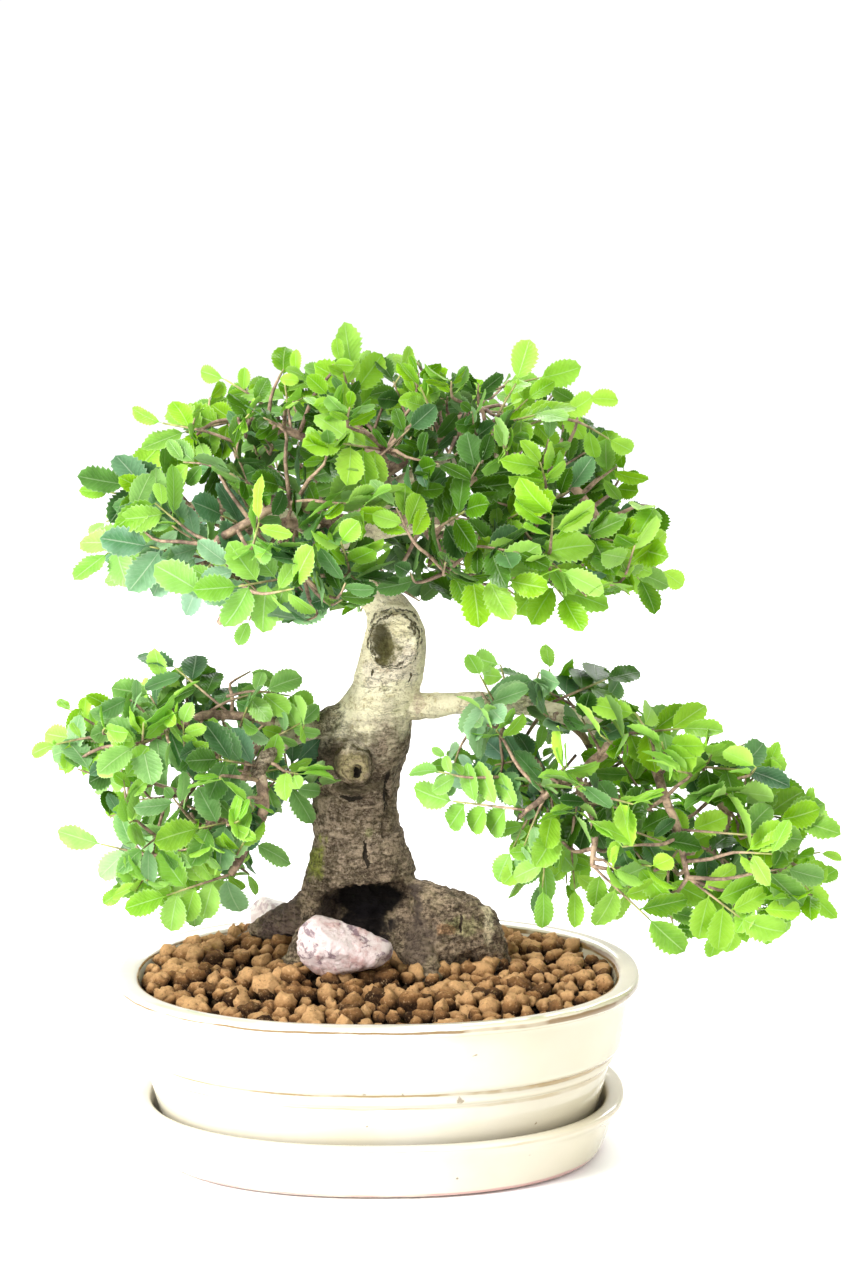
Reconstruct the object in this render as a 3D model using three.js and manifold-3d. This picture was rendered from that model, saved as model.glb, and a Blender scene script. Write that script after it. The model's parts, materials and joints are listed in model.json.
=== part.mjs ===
// A Chinese elm bonsai in its glazed oval pot, which stands in a matching drip tray.
// Sizes are in millimetres with Z up. The origin is under the middle of the tray, X runs along the
// pot's long side, and the front of the tree faces -Y.
import * as THREE from "three";
import { mergeVertices } from "three/addons/utils/BufferGeometryUtils.js";
import Module from "manifold-3d";

const wasm = await Module();
wasm.setup();

// Driving dimensions
const RIM_HALF_LENGTH = 102.5;
const RIM_HEIGHT = 71.5; // above the table, with the tray under the pot
const OVAL_DIFFERENCE = 22.5; // half length less half width, the same from rim to foot
const OVAL_POWER = 2.25; // 2 is an ellipse, and more is squarer
const OVAL_FROM = 60; // half length from which a turned profile is drawn out in full
const OVAL_SEGMENTS = 28;
const TRAY_HALF_LENGTH = 97;
const TRAY_HEIGHT = 23.5;
const TRAY_FLOOR = 4;
const CLEARANCE = 0.3; // between two pieces that touch
const POT_BASE = 7.8; // underside of the pot, held up by its feet
const POT_FLOOR = 13;
const FOOT = { x: 56, y: 33, length: 18, width: 11, rooted: 2 };
const DRAIN = { x: 38, radius: 6 };
const MESH = { side: 26, thickness: 1, bars: 3, bar: 2 };
const SOIL_EDGE = 68; // height of the soil where it meets the pot
const MOUND = { x: -7, y: 22, reachX: 62, reachY: 46, rise: 7.5 }; // round the trunk
const GRAIN = { pitch: 15, depth: 3, depthRange: 0.25, jitter: 2.2 };
const LEAF_LENGTH = 17.5;
const FIRST_LEAF_LENGTH = 14.9; // of the lowest leaf on a shoot
const GROWTH_RANGE = 0.12; // how far leaves and shoots differ from their mean length
const LEAF_WIDTH_SHARE = 0.62;
const LEAF_THICKNESS = 0.66;
const SHOOT_LENGTH = 25.5;
const SHOOT_LEAVES = 7;
const STEM_RADIUS = 0.6;
const STEM_TAPER = 0.3;
const STEM_PATCH = 1.3; // how much of the stem's length a leaf grows out of
const FIRST_SHOOT = 2; // a branch bears shoots from this one of its points on
const LOWEST_LEAF = 80;

// Colour, roughness and metalness of each material
const FINISH = {
  glaze: [0xeee6d2, 0.22],
  mesh: [0x23282a, 0.6],
  soil: [0x8a5230, 0.95],
  bark: [0x8d7a62, 0.85],
  quartz: [0xe2bfbb, 0.4],
  pale_quartz: [0xeed8d2, 0.45],
  young_leaf: [0x8fce2a, 0.45],
  leaf: [0x5fa52c, 0.42],
  dark_leaf: [0x3d7d46, 0.4],
};

const UP = new THREE.Vector3(0, 0, 1);
const LIGHT = new THREE.Vector3(0.1, -1, 0.35).normalize(); // the side that the leaves turn to

const nearest = new THREE.Vector3();

function at(x, y, z) {
  return new THREE.Vector3(x, y, z);
}

// A size that differs from its mean by up to a share of it
function about(mean, share, random) {
  return mean * (1 + share * (2 * random() - 1));
}

// Numbers from 0 to 1 that are the same on every run
function seeded(seed) {
  let state = seed >>> 0;
  return () => {
    state = (state + 0x6d2b79f5) >>> 0;
    let t = state;
    t = Math.imul(t ^ (t >>> 15), t | 1);
    t ^= t + Math.imul(t ^ (t >>> 7), t | 61);
    return ((t ^ (t >>> 14)) >>> 0) / 4294967296;
  };
}

// Closed surfaces

function solid(geometry) {
  const bare = new THREE.BufferGeometry();
  bare.setAttribute("position", geometry.getAttribute("position"));
  bare.setIndex(geometry.index);
  const merged = mergeVertices(bare, 1e-4);
  const index = merged.index.array;
  const triangles = [];
  for (let i = 0; i < index.length; i += 3) {
    const [a, b, c] = [index[i], index[i + 1], index[i + 2]];
    if (a !== b && b !== c && c !== a) triangles.push(a, b, c);
  }
  return new wasm.Manifold(
    new wasm.Mesh({
      numProp: 3,
      vertProperties: Float32Array.from(merged.attributes.position.array),
      triVerts: Uint32Array.from(triangles),
    }),
  );
}

function surface(points, triangles) {
  const geometry = new THREE.BufferGeometry();
  geometry.setFromPoints(points);
  geometry.setIndex(triangles.flat());
  return geometry;
}

// The largest body of a solid, without the loose scraps that a cut can leave
function mainBody(shape) {
  const bodies = shape.decompose();
  return bodies.reduce((best, body) => (body.volume() > best.volume() ? body : best));
}

const bonsai = new THREE.Group();

function piece(name, shape, finish) {
  const made = mainBody(shape).getMesh();
  const geometry = new THREE.BufferGeometry();
  geometry.setAttribute("position", new THREE.BufferAttribute(made.vertProperties.slice(), 3));
  geometry.setIndex(new THREE.BufferAttribute(made.triVerts.slice(), 1));
  geometry.computeVertexNormals();
  const [color, roughness] = FINISH[finish];
  const material = new THREE.MeshStandardMaterial({ color, roughness, metalness: 0 });
  const mesh = new THREE.Mesh(geometry, material);
  mesh.name = name;
  bonsai.add(mesh);
}

// A surface through rings of points, closed at both ends
function loft(rings) {
  const sides = rings[0].length;
  const triangles = [];
  for (let i = 0; i + 1 < rings.length; i++) {
    for (let j = 0; j < sides; j++) {
      const here = i * sides;
      const next = (j + 1) % sides;
      triangles.push([here + j, here + next, here + sides + next]);
      triangles.push([here + j, here + sides + next, here + sides + j]);
    }
  }
  const last = (rings.length - 1) * sides;
  for (let j = 1; j + 1 < sides; j++) {
    triangles.push([0, j + 1, j]);
    triangles.push([last, last + j, last + j + 1]);
  }
  return solid(surface(rings.flat(), triangles));
}

// Two directions square to a tangent, carried along from the ring before
function squareTo(tangent, before) {
  const across = before.clone().addScaledVector(tangent, -before.dot(tangent)).normalize();
  return [across, tangent.clone().cross(across)];
}

function tangentAt(points, i) {
  const behind = points[Math.max(i - 1, 0)];
  const ahead = points[Math.min(i + 1, points.length - 1)];
  return ahead.clone().sub(behind).normalize();
}

// A tube that tapers through points, each with its own radii; grow makes it larger all round
function tube(points, radii, sides, grow = 0) {
  let across = Math.abs(tangentAt(points, 0).x) < 0.9 ? at(1, 0, 0) : at(0, 1, 0);
  const rings = points.map((point, i) => {
    const tangent = tangentAt(points, i);
    const [a, b] = squareTo(tangent, across);
    across = a;
    const end = i === 0 ? -grow : i === points.length - 1 ? grow : 0;
    const [wide, deep] = Array.isArray(radii[i]) ? radii[i] : [radii[i], radii[i]];
    return Array.from({ length: sides }, (_, j) => {
      const turn = (2 * Math.PI * j) / sides;
      return point
        .clone()
        .addScaledVector(tangent, end)
        .addScaledVector(a, Math.cos(turn) * (wide + grow))
        .addScaledVector(b, Math.sin(turn) * (deep + grow));
    });
  });
  return loft(rings);
}

function ellipsoid(centre, radii, around = 8, up = 5) {
  const ball = new THREE.SphereGeometry(1, around, up);
  ball.rotateX(Math.PI / 2);
  ball.scale(...radii);
  ball.translate(...centre.toArray());
  return solid(ball);
}

function block(centre, size) {
  const box = new THREE.BoxGeometry(...size);
  box.translate(...centre.toArray());
  return solid(box);
}

// Pot, tray and drainage mesh

// A turned profile of [half length, height] points from axis to axis, drawn out into an oval
function oval(profile) {
  const points = profile.map(([radius, height]) => new THREE.Vector2(radius, height));
  const turned = new THREE.LatheGeometry(points, OVAL_SEGMENTS);
  turned.rotateX(Math.PI / 2);
  const place = turned.attributes.position;
  for (let i = 0; i < place.count; i++) {
    const halfLength = Math.hypot(place.getX(i), place.getY(i));
    if (halfLength < 1e-6) continue;
    const cos = place.getX(i) / halfLength;
    const sin = place.getY(i) / halfLength;
    const halfWidth = halfLength - OVAL_DIFFERENCE * Math.min(1, halfLength / OVAL_FROM);
    place.setX(i, halfLength * Math.sign(cos) * Math.abs(cos) ** (2 / OVAL_POWER));
    place.setY(i, halfWidth * Math.sign(sin) * Math.abs(sin) ** (2 / OVAL_POWER));
  }
  return solid(turned);
}

// Lip, tapering band, thin bead and foot of the pot's outside, and its plain inside
const POT_OUTSIDE = [
  [RIM_HALF_LENGTH - 18.5, POT_BASE],
  [RIM_HALF_LENGTH - 11.5, 35.5],
  [RIM_HALF_LENGTH - 12, 37],
  [RIM_HALF_LENGTH - 9, 39],
  [RIM_HALF_LENGTH - 9.9, 42.4],
  [RIM_HALF_LENGTH - 6.2, 44.2],
  [RIM_HALF_LENGTH - 3, RIM_HEIGHT - 5],
  [RIM_HALF_LENGTH, RIM_HEIGHT - 3.5],
  [RIM_HALF_LENGTH, RIM_HEIGHT - 1],
  [RIM_HALF_LENGTH - 1.5, RIM_HEIGHT],
];
const POT_INSIDE = [
  [RIM_HALF_LENGTH - 8, RIM_HEIGHT - 0.3],
  [RIM_HALF_LENGTH - 9.5, RIM_HEIGHT - 3.5],
  [RIM_HALF_LENGTH - 21.5, POT_FLOOR + 2],
  [RIM_HALF_LENGTH - 25.5, POT_FLOOR],
];
const TRAY_OUTSIDE = [
  [TRAY_HALF_LENGTH - 11, 0],
  [TRAY_HALF_LENGTH - 8.5, 2],
  [TRAY_HALF_LENGTH - 3.5, TRAY_HEIGHT - 6.5],
  [TRAY_HALF_LENGTH - 0.8, TRAY_HEIGHT - 3.2],
  [TRAY_HALF_LENGTH, TRAY_HEIGHT - 1.5],
  [TRAY_HALF_LENGTH - 0.8, TRAY_HEIGHT],
];
const TRAY_INSIDE = [
  [TRAY_HALF_LENGTH - 6.5, TRAY_HEIGHT - 0.5],
  [TRAY_HALF_LENGTH - 8.2, TRAY_HEIGHT - 3.5],
  [TRAY_HALF_LENGTH - 11.8, 7],
  [TRAY_HALF_LENGTH - 15, TRAY_FLOOR],
];

function closedProfile(outside, inside) {
  const outAndOver = [[0, outside[0][1]], ...outside, ...inside];
  return [...outAndOver, [0, inside.at(-1)[1]]];
}

function makeTray() {
  piece("drip_tray", oval(closedProfile(TRAY_OUTSIDE, TRAY_INSIDE)), "glaze");
}

function makePot() {
  let pot = oval(closedProfile(POT_OUTSIDE, POT_INSIDE));
  const footTop = POT_BASE + FOOT.rooted;
  const footBottom = TRAY_FLOOR + CLEARANCE;
  const footMiddle = (footTop + footBottom) / 2;
  for (const x of [-FOOT.x, FOOT.x]) {
    for (const y of [-FOOT.y, FOOT.y]) {
      pot = pot.add(block(at(x, y, footMiddle), [FOOT.length, FOOT.width, footTop - footBottom]));
    }
  }
  for (const x of [-DRAIN.x, DRAIN.x]) {
    const hole = new THREE.CylinderGeometry(DRAIN.radius, DRAIN.radius, 3 * POT_FLOOR, 10);
    hole.rotateX(Math.PI / 2);
    hole.translate(x, 0, POT_FLOOR);
    pot = pot.subtract(solid(hole));
  }
  piece("pot", pot, "glaze");
}

const MESH_MIDDLE = POT_FLOOR + CLEARANCE + MESH.thickness / 2;

function makeDrainageMesh(name, x) {
  let plate = block(at(x, 0, MESH_MIDDLE), [MESH.side, MESH.side, MESH.thickness]);
  const pitch = (MESH.side - MESH.bar) / MESH.bars;
  const hole = pitch - MESH.bar;
  for (let i = 0; i < MESH.bars; i++) {
    for (let j = 0; j < MESH.bars; j++) {
      const step = (MESH.bars - 1) / 2;
      const middle = at(x + (i - step) * pitch, (j - step) * pitch, MESH_MIDDLE);
      plate = plate.subtract(block(middle, [hole, hole, 3 * MESH.thickness]));
    }
  }
  piece(name, plate, "mesh");
}

// Wood: the trunk's sections from root ball to the old pruning cut, as centre and radii
const TRUNK = [
  [[-7, 22, 57], [15, 13]],
  [[-7, 22, 72], [24.5, 20]],
  [[-7.5, 21, 83], [23, 18.5]],
  [[-8, 20, 94], [21.5, 18]],
  [[-8, 20, 107], [20.3, 17]],
  [[-8.5, 19, 118], [17.2, 15.5]],
  [[-9.5, 19, 130], [16.2, 14.5]],
  [[-8.5, 18, 142], [15.8, 14.5]],
  [[-7.5, 18, 153], [16.5, 15]],
  [[-5.5, 17, 163], [17.3, 15]],
  [[-3.5, 17, 171], [16.5, 14.5]],
  [[2.5, 16, 178], [13.9, 13.2]],
  [[5, 14.5, 189], [13.4, 12.4]],
  [[6.3, 13, 200], [12.5, 11.3]],
  [[4.5, 12, 208], [10.8, 10]],
  [[1, 11, 214], [8, 8]],
  [[-4, 10, 219], [6, 6]],
];
const TRUNK_SIDES = 12;
const TRUNK_WAVER = 0.03;

// Surface roots, which spread from the trunk and go down into the soil: points and radii
const ROOTS = [
  [[[4, 16, 92], 14], [[20, 12, 93], 11.5], [[31, 10, 91], 10.5], [[39, 9, 85], 9], [[44, 9, 75], 6.5],
    [[50, 8, 60], 2.5]],
  [[[6, 14, 88], 11], [[14, 3, 80], 8], [[19, -6, 72], 5], [[23, -14, 60], 2.2]],
  [[[-18, 23, 90], 10], [[-33, 29, 83], 6.8], [[-45, 36, 77], 4.6], [[-54, 42, 69], 3],
    [[-62, 46, 58], 1.6]],
  [[[-18, 16, 86], 9], [[-30, 7, 76], 5], [[-38, 0, 64], 2.2]],
  [[[-7, 32, 86], 10], [[-3, 45, 76], 6], [[3, 56, 62], 2.2]],
  [[[8, 26, 88], 9], [[24, 37, 77], 5.2], [[34, 45, 63], 2.2]],
];
const ROOT_SIDES = 5;

// Branches: the pad that each belongs to, the radii at its two ends, and the points it runs through
const BRANCHES = [
  ["crown", 6, 2, [[-4, 10, 218], [-9, 8, 228], [-8, 5, 240], [0, 2, 255], [2, 0, 268], [-6, 0, 281]]],
  ["crown", 2.6, 1.1, [[1, 1, 261], [-16, -5, 273], [-32, -8, 283], [-50, -9, 288]]],
  ["crown", 2.4, 1.1, [[1, 0, 263], [4, -16, 275], [4, -34, 279]]],
  ["crown", 2.4, 1.1, [[2, 0, 266], [22, -8, 279], [44, -15, 286]]],
  ["crown", 2.4, 1.1, [[2, 0, 268], [20, 10, 281], [38, 20, 288]]],
  ["crown", 2.4, 1.1, [[1, 0, 270], [-8, 16, 282], [-14, 32, 285]]],
  ["crown", 3.6, 1.3, [[-8, 5, 234], [-28, -2, 247], [-50, -8, 255], [-70, -10, 255], [-84, -8, 247]]],
  ["crown", 3, 1.2, [[-8, 5, 238], [-26, -12, 248], [-46, -26, 248], [-60, -34, 238]]],
  ["crown", 3, 1.2, [[-6, 4, 244], [-14, -20, 251], [-20, -38, 247], [-26, -50, 235]]],
  ["crown", 3, 1.2, [[-3, 4, 248], [10, -18, 252], [20, -36, 248], [26, -50, 236]]],
  ["crown", 3.4, 1.3, [[-6, 4, 242], [20, -10, 248], [42, -24, 248], [60, -34, 237]]],
  ["crown", 3.3, 1.3, [[0, 2, 258], [28, 0, 270], [50, 0, 273], [68, -2, 268], [80, -3, 256],
    [88, -2, 243]]],
  ["crown", 3, 1.2, [[0, 2, 254], [26, 16, 260], [48, 28, 259], [66, 36, 248]]],
  ["crown", 3, 1.2, [[-2, 3, 251], [10, 22, 259], [18, 40, 258], [24, 54, 247]]],
  ["crown", 3, 1.2, [[-4, 4, 247], [-16, 24, 256], [-24, 42, 256], [-32, 54, 246]]],
  ["crown", 3, 1.2, [[-7, 5, 241], [-30, 16, 251], [-50, 26, 253], [-68, 32, 245]]],
  ["left", 3.8, 1.4, [[-16, 14, 166], [-33, 3, 163], [-45, -9, 154], [-44, -14, 136], [-56, -19, 114]]],
  ["left", 2.2, 1.1, [[-44, -12, 142], [-64, -14, 133], [-84, -10, 118]]],
  ["left", 2.8, 1.1, [[-33, 3, 163], [-42, 0, 170], [-56, -4, 173], [-74, -5, 171], [-90, -6, 163]]],
  ["left", 2.4, 1.1, [[-32, 4, 163], [-46, 20, 160], [-62, 28, 152], [-76, 26, 135]]],
  ["left", 1.9, 1, [[-46, 20, 160], [-56, 20, 138], [-66, 16, 114]]],
  ["right", 5.2, 1.5, [[8, 15, 173], [24, 9, 177], [40, 4, 181], [64, -1, 176], [92, -6, 166],
    [114, -6, 154], [136, -5, 136]]],
  ["right", 2.6, 1.1, [[92, -6, 166], [84, -16, 158], [70, -24, 150], [57, -27, 141]]],
  ["right", 1.8, 1, [[76, -20, 153], [82, -28, 137], [82, -30, 120]]],
  ["right", 2.3, 1.1, [[104, -6, 160], [108, -20, 150], [114, -29, 134], [118, -32, 116]]],
  ["right", 2.4, 1.1, [[56, 0, 178], [68, 14, 172], [82, 24, 157], [90, 27, 136]]],
  ["right", 2.1, 1.1, [[108, -6, 157], [122, 10, 148], [134, 18, 134], [142, 20, 118]]],
];
const THICK_BRANCH = { radius: 3.2, sides: 5 };
const THIN_BRANCH_SIDES = 4;
const LONGEST_FACE = 45; // of the bark
const STEEP = 0.3; // a branch that is less level than this stands upright
const GOLDEN_ANGLE = Math.PI * (3 - Math.sqrt(5));

// Each pad of foliage: its middle, its half sizes, how far it reaches down, and its fall along X
const PADS = {
  crown: { middle: at(3, 2, 238), half: at(118, 86, 78), below: 36, slope: 0 },
  left: { middle: at(-72, 4, 142), half: at(55, 46, 50), below: 48, slope: 0 },
  right: { middle: at(104, -2, 142), half: at(80, 48, 44), below: 44, slope: -0.42 },
};

const COVER_POINTS = 360;
const COVER_REACH = 0.92; // as a share of the pad's half sizes
const COVER_LOWEST = -0.75;
const LEAF_WORTH = 0.5; // beside 1 for each point that a shoot covers
const OVERHANG_COST = 25;
const LEAF_COVER = 11; // how far round its middle a leaf hides the pad's inside

function trunkTube(grow) {
  const random = seeded(11);
  const points = TRUNK.map(([centre]) => at(...centre));
  const radii = TRUNK.map(([, [wide, deep]]) => {
    return [about(wide, TRUNK_WAVER, random), about(deep, TRUNK_WAVER, random)];
  });
  return tube(points, radii, TRUNK_SIDES, grow);
}

function rootTube(root, grow) {
  return tube(root.map(([point]) => at(...point)), root.map(([, radius]) => radius), ROOT_SIDES, grow);
}

// Radius of a branch at each of its points, falling evenly from its start to its tip
function branchRadii([, thick, thin, points]) {
  return points.map((_, i) => thick + ((thin - thick) * i) / (points.length - 1));
}

// Cuts and swellings that years of pruning have left on the trunk
function addScars(trunk) {
  const hollowUnderTrunk = ellipsoid(at(2, -1, 87), [17, 9, 12], 10, 6);
  const callus = ellipsoid(at(6.8, 4.5, 202), [10.6, 6.5, 14], 10, 6);
  const callusHollow = ellipsoid(at(5, -2.2, 201), [5.6, 4.2, 9.5]);
  const knot = ellipsoid(at(-9.9, 5.5, 151.4), [7.6, 5.2, 8]);
  const knotHole = ellipsoid(at(-9.6, -0.2, 151), [1.7, 3, 2.8], 6, 4);
  const stub = tube([at(-10, 15, 169), at(-21, 14, 174)], [8.5, 4.6], 6);
  return trunk
    .subtract(hollowUnderTrunk)
    .add(callus)
    .add(stub)
    .subtract(callusHollow)
    .add(knot)
    .subtract(knotHole);
}

// The part of the wood that stands in the soil, a little larger all round where grow is given
function rootBall(grow) {
  return ROOTS.reduce((wood, root) => wood.add(rootTube(root, grow)), trunkTube(grow));
}

// Leafy shoots

const SHOOT_LAST = SHOOT_LEAVES - 1;
const SHOOT_TURNS = 8; // ways round its branch in which a shoot may start
const SHOOT_LEANS = [0.75, 0.3]; // and how far it leans along the branch
const TIP_LEAN = 0.45; // how much further on a shoot at a tip points, and how far to the side
const TIP_SIDEWAYS = 0.8;
const LEAST_SQUARE = 0.6; // how squarely it has to leave the bark
const FACING_OUT = 0.9; // how much its leaves face out of the pad, beside 1 for the light
const FACING_UP = 0.1;
const SHOOTS = { crown: 26, left: 10, right: 13 };

// A direction square to a branch, turned about it from level
function beside(tangent, turn) {
  const level = tangent.clone().cross(UP);
  if (level.length() < STEEP) level.set(1, 0, 0);
  level.normalize();
  const lift = level.clone().cross(tangent);
  return level.multiplyScalar(Math.cos(turn)).addScaledVector(lift, Math.sin(turn)).normalize();
}

// A point seen from the middle of its pad, where the pad's outside is 1 away
function inPad(pad, point) {
  const { middle, half, below, slope } = PADS[pad];
  const seen = point.clone().sub(middle);
  seen.z -= slope * seen.x;
  return seen.divide(at(half.x, half.y, seen.z > 0 ? half.z : below));
}

// Points spread evenly over a pad's outside, except underneath, which the leaves are to cover
function coverOf(pad) {
  const { middle, half, below, slope } = PADS[pad];
  const points = [];
  for (let i = 0; i < COVER_POINTS; i++) {
    const height = 1 - (2 * (i + 0.5)) / COVER_POINTS;
    if (height < COVER_LOWEST) continue;
    const around = Math.sqrt(1 - height * height);
    const turn = i * GOLDEN_ANGLE;
    const point = at(around * Math.cos(turn), around * Math.sin(turn), height);
    point.multiplyScalar(COVER_REACH).multiply(at(half.x, half.y, height > 0 ? half.z : below));
    point.z += slope * point.x;
    points.push(point.add(middle));
  }
  return points;
}

function facesOf(shape) {
  const { vertProperties, triVerts } = shape.getMesh();
  const corner = (i) => at(...vertProperties.subarray(3 * triVerts[i], 3 * triVerts[i] + 3));
  return Array.from({ length: triVerts.length / 3 }, (_, i) => {
    return new THREE.Triangle(corner(3 * i), corner(3 * i + 1), corner(3 * i + 2));
  });
}

// Where each shoot leaves the wood: at every branch tip, and beside a branch's inner points.
// The youngest leaves are at the tips, and the oldest and darkest further in
function planShoots(wood) {
  const faces = facesOf(wood);
  const tips = [];
  const others = [];
  for (const branch of BRANCHES) {
    const [pad, , , places] = branch;
    const points = places.map((place) => at(...place));
    const radii = branchRadii(branch);
    const last = points.length - 1;
    const finish = tips.length % 2 ? "leaf" : "young_leaf";
    tips.push({ pad, finish, start: points[last], tangent: tangentAt(points, last), radius: 0 });
    for (let i = last - 1; i >= FIRST_SHOOT; i--) {
      const age = others.length % 2 ? "leaf" : "dark_leaf";
      const tangent = tangentAt(points, i);
      const bark = faces.filter((face) => face.a.distanceTo(points[i]) < LONGEST_FACE);
      others.push({ pad, finish: age, start: points[i], tangent, radius: radii[i], bark });
    }
  }
  return [...tips, ...others];
}

// The ways in which a shoot could point: on from a tip, or all round a branch
function directionsOf(plan) {
  const ways = [];
  for (let turn = 0; turn < SHOOT_TURNS; turn++) {
    const side = beside(plan.tangent, (2 * Math.PI * turn) / SHOOT_TURNS);
    for (const lean of SHOOT_LEANS) {
      const along = plan.radius ? lean : lean + TIP_LEAN;
      const way = plan.tangent.clone().multiplyScalar(along);
      ways.push(way.addScaledVector(side, TIP_SIDEWAYS).normalize());
    }
  }
  return ways;
}

// How deep a shoot's start lies under the bark along a direction, and which way the bark faces there
function barkAlong(plan, direction) {
  const ray = new THREE.Ray(plan.start, direction);
  let bark = { depth: Infinity, facing: direction };
  for (const face of plan.bark) {
    if (!ray.intersectTriangle(face.a, face.b, face.c, false, nearest)) continue;
    const depth = nearest.distanceTo(plan.start);
    if (depth < bark.depth) bark = { depth, facing: face.getNormal(at(0, 0, 0)) };
  }
  return bark;
}

function aimShoot(plan, direction, random) {
  const bark = plan.radius ? barkAlong(plan, direction) : { depth: 0, facing: plan.tangent };
  const squareness = Math.abs(direction.dot(bark.facing));
  const lean = Math.sqrt(1 - squareness ** 2);
  const away = bark.depth + (CLEARANCE + STEM_RADIUS * lean) / squareness;
  const out = inPad(plan.pad, plan.start.clone().addScaledVector(direction, SHOOT_LENGTH));
  out.divide(PADS[plan.pad].half).normalize();
  const normal = LIGHT.clone().addScaledVector(UP, FACING_UP).addScaledVector(out, FACING_OUT);
  normal.addScaledVector(direction, -normal.dot(direction)).normalize();
  const length = about(SHOOT_LENGTH, GROWTH_RANGE, random);
  const base = plan.start.clone().addScaledVector(direction, away);
  return {
    pad: plan.pad,
    finish: plan.finish,
    base,
    direction,
    squareness,
    normal,
    side: normal.clone().cross(direction),
    length,
    middle: base.clone().addScaledVector(direction, 0.8 * length),
  };
}

// How well a shoot uses its pad: how much of the bare outside its leaves would cover
function worth(shoot, bare) {
  const tip = shoot.base.clone().addScaledVector(shoot.direction, shoot.length + LEAF_LENGTH / 2);
  const overhang = Math.max(0, inPad(shoot.pad, tip).length() - 1);
  const cover = newlyCovered(shoot, bare).length;
  return cover + LEAF_WORTH * shoot.leaves.length - OVERHANG_COST * overhang;
}

function newlyCovered(shoot, bare) {
  return bare.filter((point) => shoot.leaves.some((leaf) => leaf.centre.distanceTo(point) < LEAF_COVER));
}

// Corners of a leaf between base and tip, as shares of its length and half width. An elm leaf is
// lopsided: one half carries a deeper saw tooth
const TOOTHED_HALF = [
  [0.32, 0.82],
  [0.41, 0.74],
  [0.68, 0.97],
];
const PLAIN_HALF = [
  [0.38, 0.88],
  [0.7, 0.93],
];
const FOLD = 0.18; // how far the edges rise above the midrib, as a share of their distance from it
const DROOP = 0.1; // how far the tip bends down, as a share of the length
const LOUVRE = 0.36; // leaves on one side lie over each other like slats, turned by this angle
const LEAF_SPREAD = 1.07; // angle between a leaf and its stem
const LEAF_TILT = 0.16; // how far the leaves droop from the plane of the shoot, and its range
const LEAF_TILT_RANGE = 0.15;
const LEAF_WAVER = 0.11; // how far any of these angles differs from leaf to leaf

function leafPoint(leaf, [along, across]) {
  const side = leaf.normal.clone().cross(leaf.axis);
  const rise = FOLD * Math.abs(across) * leaf.halfWidth - DROOP * along * along * leaf.length;
  return leaf.base
    .clone()
    .addScaledVector(leaf.axis, along * leaf.length)
    .addScaledVector(side, across * leaf.halfWidth)
    .addScaledVector(leaf.normal, rise);
}

// Leaves stand left and right in turn, and the last one ends the shoot
function growLeaf(shoot, i, random) {
  const terminal = i === SHOOT_LAST;
  const hand = i % 2 ? 1 : -1;
  const waver = () => LEAF_WAVER * (2 * random() - 1);
  const spread = terminal ? waver() : hand * LEAF_SPREAD + waver();
  const tilt = shoot.tilt + waver() / 2;
  const roll = terminal ? 2 * waver() : hand * LOUVRE + waver() / 2;
  const axis = shoot.direction.clone().multiplyScalar(Math.cos(spread));
  axis.addScaledVector(shoot.side, Math.sin(spread));
  const normal = shoot.normal.clone().multiplyScalar(Math.cos(tilt)).addScaledVector(axis, Math.sin(tilt));
  axis.multiplyScalar(Math.cos(tilt)).addScaledVector(shoot.normal, -Math.sin(tilt));
  normal.applyAxisAngle(axis, roll);
  const place = terminal ? 1 : (i + 0.75) / SHOOT_LEAVES;
  const length = about(i === 0 ? FIRST_LEAF_LENGTH : LEAF_LENGTH, GROWTH_RANGE, random);
  return {
    hand: terminal ? 0 : hand,
    place: place * shoot.length,
    base: shoot.base.clone().addScaledVector(shoot.direction, place * shoot.length),
    axis,
    normal,
    length,
    halfWidth: (LEAF_WIDTH_SHARE * length) / 2,
  };
}

// Points spread over a leaf, and the four triangles that stand for it where leaves might touch
const LEAF_SAMPLES = [
  [0.35, 0], [0.68, 0], [1, 0], [0.18, 0.5], [0.4, 0.75], [0.68, 0.97], [0.84, 0.5],
  [0.54, 0.45], [0.18, -0.5], [0.4, -0.75], [0.68, -0.97], [0.84, -0.5], [0.54, -0.45],
];
const LEAF_PATCHES = [1, -1].flatMap((hand) => [
  [[0, 0], [0.3, 0.85 * hand], [0.7, hand]],
  [[0, 0], [0.7, hand], [1, 0]],
]);
const LEAF_SPACE = 2.1;
const BLADE_SPACE = 1.25;
const LEAF_TRIES = 3;
const WOOD_SPACE = 2.3;
const STEM_SPACE = 1;
const TOUCHING = 1e-3;

function withShape(leaf) {
  leaf.samples = LEAF_SAMPLES.map((place) => leafPoint(leaf, place));
  leaf.patches = LEAF_PATCHES.map((patch) => {
    return new THREE.Triangle(...patch.map((place) => leafPoint(leaf, place)));
  });
  leaf.centre = leafPoint(leaf, [0.5, 0]);
  return leaf;
}

function clearOfLeaf(points, leaf, space) {
  return points.every((point) => {
    return leaf.patches.every((patch) => {
      patch.closestPointToPoint(point, nearest);
      return nearest.distanceTo(point) > space;
    });
  });
}

function leavesApart(leaf, other, space) {
  return clearOfLeaf(leaf.samples, other, space) && clearOfLeaf(other.samples, leaf, space);
}

function distanceToRod(point, { from, to }) {
  const rod = to.clone().sub(from);
  const share = THREE.MathUtils.clamp(point.clone().sub(from).dot(rod) / rod.lengthSq(), 0, 1);
  return point.distanceTo(from.clone().addScaledVector(rod, share));
}

function clearOfRods(points, rods, space) {
  return rods.every((rod) => points.every((point) => distanceToRod(point, rod) > rod.radius + space));
}

function rodsAlong(points, radii) {
  return points.slice(1).map((to, i) => {
    return { from: points[i], to, radius: Math.max(radii[i], radii[i + 1]) };
  });
}

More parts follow.
